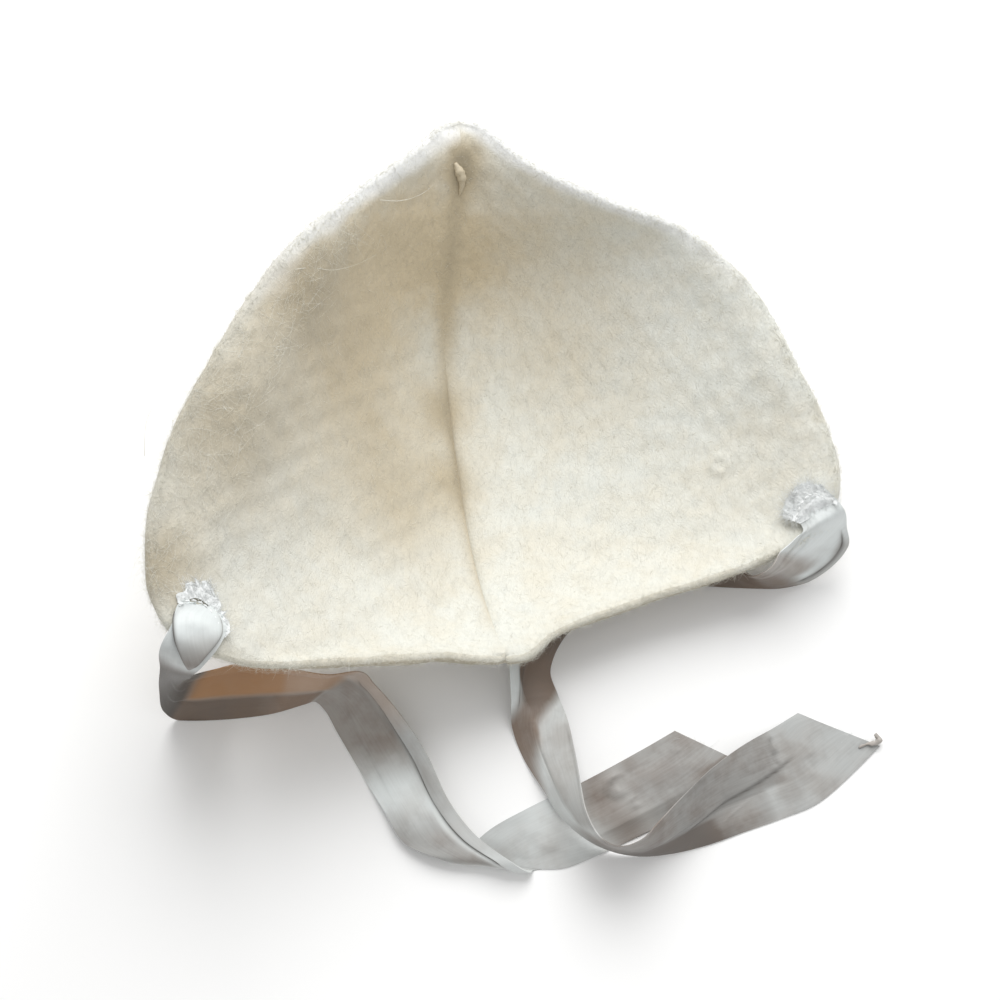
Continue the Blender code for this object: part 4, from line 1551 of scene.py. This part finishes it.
@dataclass
class FoldedFlap:
    """The puffed fold of the left ribbon's end, stitched over its own beginning."""

    name: str
    rows: Sequence[FlapRow]
    thickness: float = 0.4
    steps: int = 10
    columns: int = 40

    def build(self, satin: bpy.types.Material) -> bpy.types.Object:
        """Builds the flap.

        Args:
            satin: The satin's material.

        Returns:
            The piece.
        """
        edge_1, edge_2 = both_edges(self.rows, self.steps)
        puff = through([(row.puff, 0.1 * i, 0.0) for i, row in enumerate(self.rows)], self.steps)[:, 0]
        places = np.linspace(0, 1, self.columns)
        chord = ruled(edge_1, edge_2, places[None])
        normals = grid_normals(chord)
        normals *= np.sign(normals[..., 2:] + 1e-9)
        dome = np.sin(math.pi * places) ** 0.65 * (1 + 0.1 * np.sin(places * 7.0))
        upper = chord + normals * (puff[:, None] * dome)[..., None]
        cloth = cloth_places(upper)
        upper += normals * (Undulation(51, 5.0, 14.0).at(cloth) * 0.12)[..., None]
        rings = around(upper, chord - normals * self.thickness)
        rows = (np.arange(len(rings)) / self.steps)[:, None]
        # Painted shade with a warm tint on the flap's lower part, and a painted shadow outline along its edges.
        low = smooth((rows - 2.2) / 3.0) * np.ones(rings.shape[1])
        side = np.minimum(places, 1 - places) * np.linalg.norm(edge_2 - edge_1, axis=1)[:, None]
        painted_edge_shadow = 0.9 * np.exp(-side / 0.35) * smooth((rows - 0.4) / 0.8)
        marks = {"greying_and_painted_shade": 0.06 + 0.66 * low, "tan": 0.1 * low, "line": around(painted_edge_shadow, painted_edge_shadow)}
        skin = Skin(self.name, rings, around(cloth, cloth), marks)
        return piece(self.name, skin.mesh(), satin)


@dataclass
class RuffledEnd:
    """A raw silk edge with its loose threads: ruffles along a curved line, or a fuzzy patch in from it."""

    name: str
    path: Sequence[Place]
    facing: Place
    centre: Place
    reach: float
    seed: int
    back: float = 1.2
    rise: float = 0.55
    ripple: float = 0.14
    pitch: float = 2.6
    thickness: float = 0.3
    steps: int = 12
    columns: int = 12
    smoothing: int = 6
    threads: int = 420
    inner: tuple[Place, Place] | None = None
    fray: HairKind = HairKind(0.8, 2.8, 0.45, 0.6, 0.045)

    def ruffles(self, line: np.ndarray, outward: np.ndarray, travel: np.ndarray, share: np.ndarray,
                phase: np.ndarray) -> tuple[np.ndarray, np.ndarray]:
        """Shapes ruffles along the line.

        Args:
            line: The line.
            outward: The direction outward at each of its points.
            travel: How far along the line each point lies.
            share: The columns' places from the line outward.
            phase: The ruffles' phase at each point.

        Returns:
            The flat grid, and how far each of its points rises.
        """
        ends = smooth(travel / 1.5) * smooth((travel[-1] - travel) / 1.5)
        reach = self.back + self.reach * (0.78 + 0.22 * np.sin(phase * 0.7 + 1.0)) * (0.4 + 0.6 * ends)
        fullness = 0.6 + 0.4 * Undulation(self.seed, 3.0, 7.0).at(line)[:, None]
        height = 0.25 + self.rise * fullness * smooth(share * 1.6) * (0.5 + 0.5 * np.sin(phase + share * 3.0)) * ends
        fine = Undulation(self.seed + 9, 1.2, 3.0).at(line[:, None] + outward[:, None] * share[..., None] * 2)
        grid = line[:, None] + outward[:, None] * (share * reach - self.back)[..., None]
        return grid, height + self.ripple * fine

    def patch(self, line: np.ndarray, outward: np.ndarray, travel: np.ndarray, share: np.ndarray,
              phase: np.ndarray) -> tuple[np.ndarray, np.ndarray]:
        """Shapes a patch from the root line out to the line.

        Args:
            line: The line.
            outward: The direction outward at each of its points.
            travel: How far along the line each point lies.
            share: The columns' places from the root line outward.
            phase: The ragged edge's phase at each point.

        Returns:
            The flat grid, and how far each of its points rises.
        """
        start, end = np.array(self.inner)
        root = start + (end - start) * smooth(travel / travel[-1])
        grid = ruled(root, line + outward * self.reach * (0.8 + 0.2 * np.sin(phase)), share)
        return grid, -0.5 + 1.0 * smooth(share * 2.5) + self.ripple * Undulation(self.seed + 9, 2.0, 5.0).at(grid)

    def build(self, silk: bpy.types.Material) -> bpy.types.Object:
        """Builds the ruffle.

        Args:
            silk: The raw silk's material.

        Returns:
            The ruffle's piece.
        """
        line = through(self.path, self.steps)
        facing = unit(np.array(self.facing))
        along = unit(np.gradient(line, axis=0))
        outward = unit(np.cross(along, facing))
        outward *= np.sign(np.sum(outward * (line - np.array(self.centre)), axis=1, keepdims=True))
        window = np.ones(2 * self.smoothing + 1) / (2 * self.smoothing + 1)
        padded = np.pad(outward, ((self.smoothing, self.smoothing), (0, 0)), mode="edge")
        outward = unit(np.stack([np.convolve(padded[:, k], window, "valid") for k in range(3)], axis=-1))
        travel = lengths_along(line[:, None], 0)
        share = np.linspace(0, 1, self.columns)[None, :]
        phase = travel * 2 * math.pi / self.pitch + 2.6 * np.sin(travel * 0.61 + self.seed)
        shape = self.patch if self.inner else self.ruffles
        grid, height = shape(line, outward, travel, share, phase)
        grid = grid + facing * height[..., None]
        cloth = np.stack(np.broadcast_arrays(share * 4.0, travel), axis=-1)
        skin = Skin(self.name, around(grid, grid - facing * self.thickness), around(cloth, cloth))
        made = piece(self.name, skin.mesh(), silk)
        draw = np.random.default_rng(self.seed)
        normals = np.broadcast_to(facing, grid.shape)
        weight = np.broadcast_to(0.3 + share, grid.shape[:2])
        fur("threads_" + self.name, grid, normals, self.threads, self.fray, draw, silk, weight)
        return made


@dataclass
class StitchRow:
    """A row of short stitches in white thread."""

    name: str
    path: Sequence[Place]
    facing: Place
    seed: int
    radius: float = 0.24
    span: float = 1.5
    pitch: float = 1.9
    arch: float = 0.45
    jitter: float = 0.25
    steps: int = 16
    knots: int = 7
    sides: int = 8

    def build(self, silk: bpy.types.Material) -> bpy.types.Object:
        """Builds the stitches.

        Args:
            silk: The thread's material.

        Returns:
            The piece.
        """
        draw = np.random.default_rng(self.seed)
        line = through(self.path, self.steps)
        travel = lengths_along(line[:, None], 0)[:, 0]
        facing = unit(np.array(self.facing))
        count = int(travel[-1] / self.pitch)
        starts = (np.arange(count) + 0.5) * self.pitch + draw.uniform(-self.jitter, self.jitter, count)
        share = np.linspace(-0.5, 0.5, self.knots)
        lines = []
        for start in starts:
            at, ahead = (np.array([np.interp(place, travel, line[:, k]) for k in range(3)])
                         for place in (start, start + 0.5))
            run = unit(ahead - at)
            lean = unit(run + np.cross(facing, run) * draw.uniform(-0.9, 0.3))
            lift = facing * self.arch
            lines.append([at + lean * self.span * s + lift * (1 - 5.2 * s * s) for s in share])
        lines = np.array(lines)
        thin = self.radius * np.sqrt(np.clip(1 - (2 * share) ** 4, 0.15, 1))
        points, faces = tubes(lines, np.broadcast_to(thin, lines.shape[:2]), self.sides)
        return piece(self.name, plain_mesh(self.name, points, faces), silk)


@dataclass
class WoolStrands:
    """The nub of matted wool under the peak, and the long hairs that lie loose on the felt."""

    nub: Sequence[Place]
    nub_radii: Sequence[float]
    hairs: Sequence[Sequence[Place]]
    hair_radius: float = 0.09

    def build_nub(self, wool: bpy.types.Material) -> bpy.types.Object:
        """Builds the nub and gives its piece."""
        line = through(self.nub, 8)
        radii = np.interp(np.linspace(0, 1, len(line)), np.linspace(0, 1, len(self.nub_radii)), self.nub_radii)
        lumps = 1 + 0.12 * Undulation(61, 1.5, 4.0).at(line)
        points, faces = tubes(line[None], (radii * lumps)[None], 20)
        points += 0.12 * Undulation(62, 0.8, 2.0).at(points)[:, None]
        return piece("wool_nub", plain_mesh("wool_nub", points, faces), wool)

    def build_hairs(self, wool: bpy.types.Material) -> bpy.types.Object:
        """Builds the long loose hairs and gives their piece."""
        longest = 8 * max(len(path) for path in self.hairs)
        lines = []
        for path in self.hairs:
            line = through(path, 16)
            places = np.linspace(0, len(line) - 1, longest)
            lines.append([[np.interp(place, np.arange(len(line)), line[:, k]) for k in range(3)] for place in places])
        return hair_piece("long_hairs", np.array(lines), self.hair_radius, wool)


@dataclass
class CurledTip:
    """The twisted corner at the cut end of the right ribbon."""

    path: Sequence[Place]
    radius: float = 0.85
    # The tip's colour goes through the ribbon's marks of greying with painted shade and of brown staining with
    # painted warm shade.
    greying_and_painted_shade: float = 0.5
    tan: float = 0.22

    def build(self, satin: bpy.types.Material) -> bpy.types.Object:
        """Builds the curled corner and gives its piece."""
        line = through(self.path, 10)
        share = np.linspace(0, 1, len(line))
        radii = self.radius * (0.35 + 0.65 * smooth(share * 1.5)) * (1 - 0.55 * smooth((share - 0.75) * 4))
        points, faces = tubes(line[None], (radii * (1 + 0.18 * np.sin(share * 21.0)))[None], 14)
        points += 0.16 * Undulation(71, 0.9, 2.2).at(points)[:, None]
        points[:, 2] = np.maximum(points[:, 2], FLOOR_GAP)
        mesh = plain_mesh("curled_tip", points, faces)
        for mark, value in (("greying_and_painted_shade", self.greying_and_painted_shade), ("tan", self.tan), ("line", 0.0)):
            values = np.full(len(points), value, np.float32)
            mesh.attributes.new(mark, "FLOAT", "POINT").data.foreach_set("value", values)
        return piece("curled_tip", mesh, satin)


@dataclass(frozen=True)
class Studio:
    """Floor, soft light and the photograph's camera."""

    aim: Place = tuple(float(-value) for value in ORIGIN * MM)
    elevation: float = 68.0
    distance: float = 0.480
    lens: float = 51.84
    sensor: float = 36.0
    floor_half: float = 3.0
    floor_colour: Colour = (0.92, 0.92, 0.915, 1.0)
    sky: float = 0.66
    key_power: float = 9.5
    key_place: Place = (0.05, 0.62, 0.75)
    key_size: float = 0.8

    def camera(self) -> None:
        """Sets the camera at the photograph's angle."""
        data = bpy.data.cameras.new("photo_camera")
        data.lens = self.lens
        data.sensor_width = self.sensor
        data.clip_start = 0.01
        made = placed("photo_camera", data)
        angle = math.radians(self.elevation)
        back = Vector((0.0, -math.cos(angle), math.sin(angle)))
        made.location = Vector(self.aim) + back * self.distance
        made.rotation_euler = (-back).to_track_quat("-Z", "Y").to_euler()
        bpy.context.scene.camera = made

    def floor(self) -> None:
        """Lays the pale floor."""
        half = self.floor_half
        mesh = bpy.data.meshes.new("floor")
        mesh.from_pydata([(-half, -half, 0), (half, -half, 0), (half, half, 0), (-half, half, 0)], [], [(0, 1, 2, 3)])
        material, bench, place = blank_material("pale_paper")
        darker = tuple(0.985 * channel for channel in self.floor_colour[:3]) + (1.0,)
        body = bench.mix(bench.noise(place["Object"], 3.0), self.floor_colour, darker)
        bench.surface({"Base Color": body, "Roughness": 0.9, "Specular IOR Level": 0.1})
        mesh.materials.append(material)
        made = placed("floor", mesh)

    def window(self) -> None:
        """Hangs the soft square lamp beyond the peak, where the photograph's light comes from."""
        data = bpy.data.lights.new("window", "AREA")
        data.energy = self.key_power
        data.size = self.key_size
        made = placed("window", data)
        made.location = self.key_place
        made.rotation_euler = (Vector(self.aim) - Vector(self.key_place)).to_track_quat("-Z", "Y").to_euler()

    def sky_light(self) -> None:
        """Fills the shadows with an even pale sky and keeps the colours plain."""
        world = bpy.data.worlds.new("pale_sky")
        world.use_nodes = True
        sky = world.node_tree.nodes["Background"]
        sky.inputs["Color"].default_value = (1.0, 1.0, 1.0, 1.0)
        sky.inputs["Strength"].default_value = self.sky
        bpy.context.scene.world = world
        bpy.context.scene.view_settings.view_transform = "Standard"

    def build(self) -> None:
        """Sets up camera, floor and light."""
        self.camera()
        self.floor()
        self.window()
        self.sky_light()


def main() -> None:
    """Builds the bonnet's pieces in order."""
    logging.basicConfig(level=logging.INFO, format="%(name)s: %(message)s")
    Studio().build()
    effects = Effects(matted_wool_group(), faint_knit_group(), age_stain_group(), silk_weave_group())
    felt = FeltFinish().material(effects)
    wool = ThreadFinish("wool_hair", (0.86, 0.855, 0.80, 1.0), (0.72, 0.70, 0.60, 1.0)).material(effects)
    satin = SatinFinish().material(effects)
    silk = ThreadFinish("raw_silk", (0.88, 0.90, 0.90, 1.0), (0.76, 0.775, 0.77, 1.0), 0.7).material(effects)
    FeltPanel("panel_right", RIGHT_EDGE, Side.RIGHT, RIGHT_FOLDS, (124.0, 199.0), 0.0166, ("floor",), 6.0,
              3.2, 9.2, 21).build(felt, wool)
    FeltPanel("panel_left", LEFT_EDGE, Side.LEFT, LEFT_FOLDS, (124.0, 199.0), 0.0166, ("felt_panel_right",),
              7.5, 3.0, 10.2, 22, loose_hairs=650).build(felt, wool)
    RibbonTie("tie_left", LEFT_TIE, LEFT_PLEATS, LEFT_STAINS, LEFT_WRINKLES, 0.76, 286.0, 1.0, 31).build(satin, silk)
    RibbonTie("tie_right", RIGHT_TIE, RIGHT_PLEATS, RIGHT_STAINS, RIGHT_WRINKLES, 0.38, 300.0, 1.6,
              37).build(satin, silk)
    FoldedFlap("folded_flap_left", FLAP).build(satin)
    left, right = (0.66, 0.02, 0.75), (-0.3, -0.2, 0.93)
    left_centre = (-81.0, -67.0, 73.0)
    RuffledEnd("ruffle_left", LEFT_RUFFLE, left, left_centre, 2.4, 41).build(silk)
    RuffledEnd("ruffle_left_top", LEFT_RUFFLE_TOP, left, left_centre, 1.6, 42).build(silk)
    RuffledEnd("ruffle_right", RIGHT_RUFFLE, right, (97.0, -16.0, 28.0), 1.5, 43, ripple=0.05, threads=2200,
               inner=((93.4, -18.6, 26.6), (105.2, -12.8, 30.6)),
               fray=HairKind(1.2, 3.4, 0.2, 0.7, 0.04)).build(silk)
    StitchRow("stitches_left", LEFT_STITCHES, left, 45).build(silk)
    StitchRow("stitches_right", RIGHT_STITCHES, right, 46).build(silk)
    strands = WoolStrands(NUB, NUB_RADII, STRAY_HAIRS)
    # The nub's dark warm wool is partly painted shade of the pocket it sits in.
    nub = ThreadFinish("matted_nub", (0.60, 0.53, 0.40, 1.0), (0.50, 0.43, 0.31, 1.0)).material(effects)
    strands.build_nub(nub)
    strands.build_hairs(wool)
    CurledTip(TIP).build(satin)


if __name__ == "__main__":
    main()
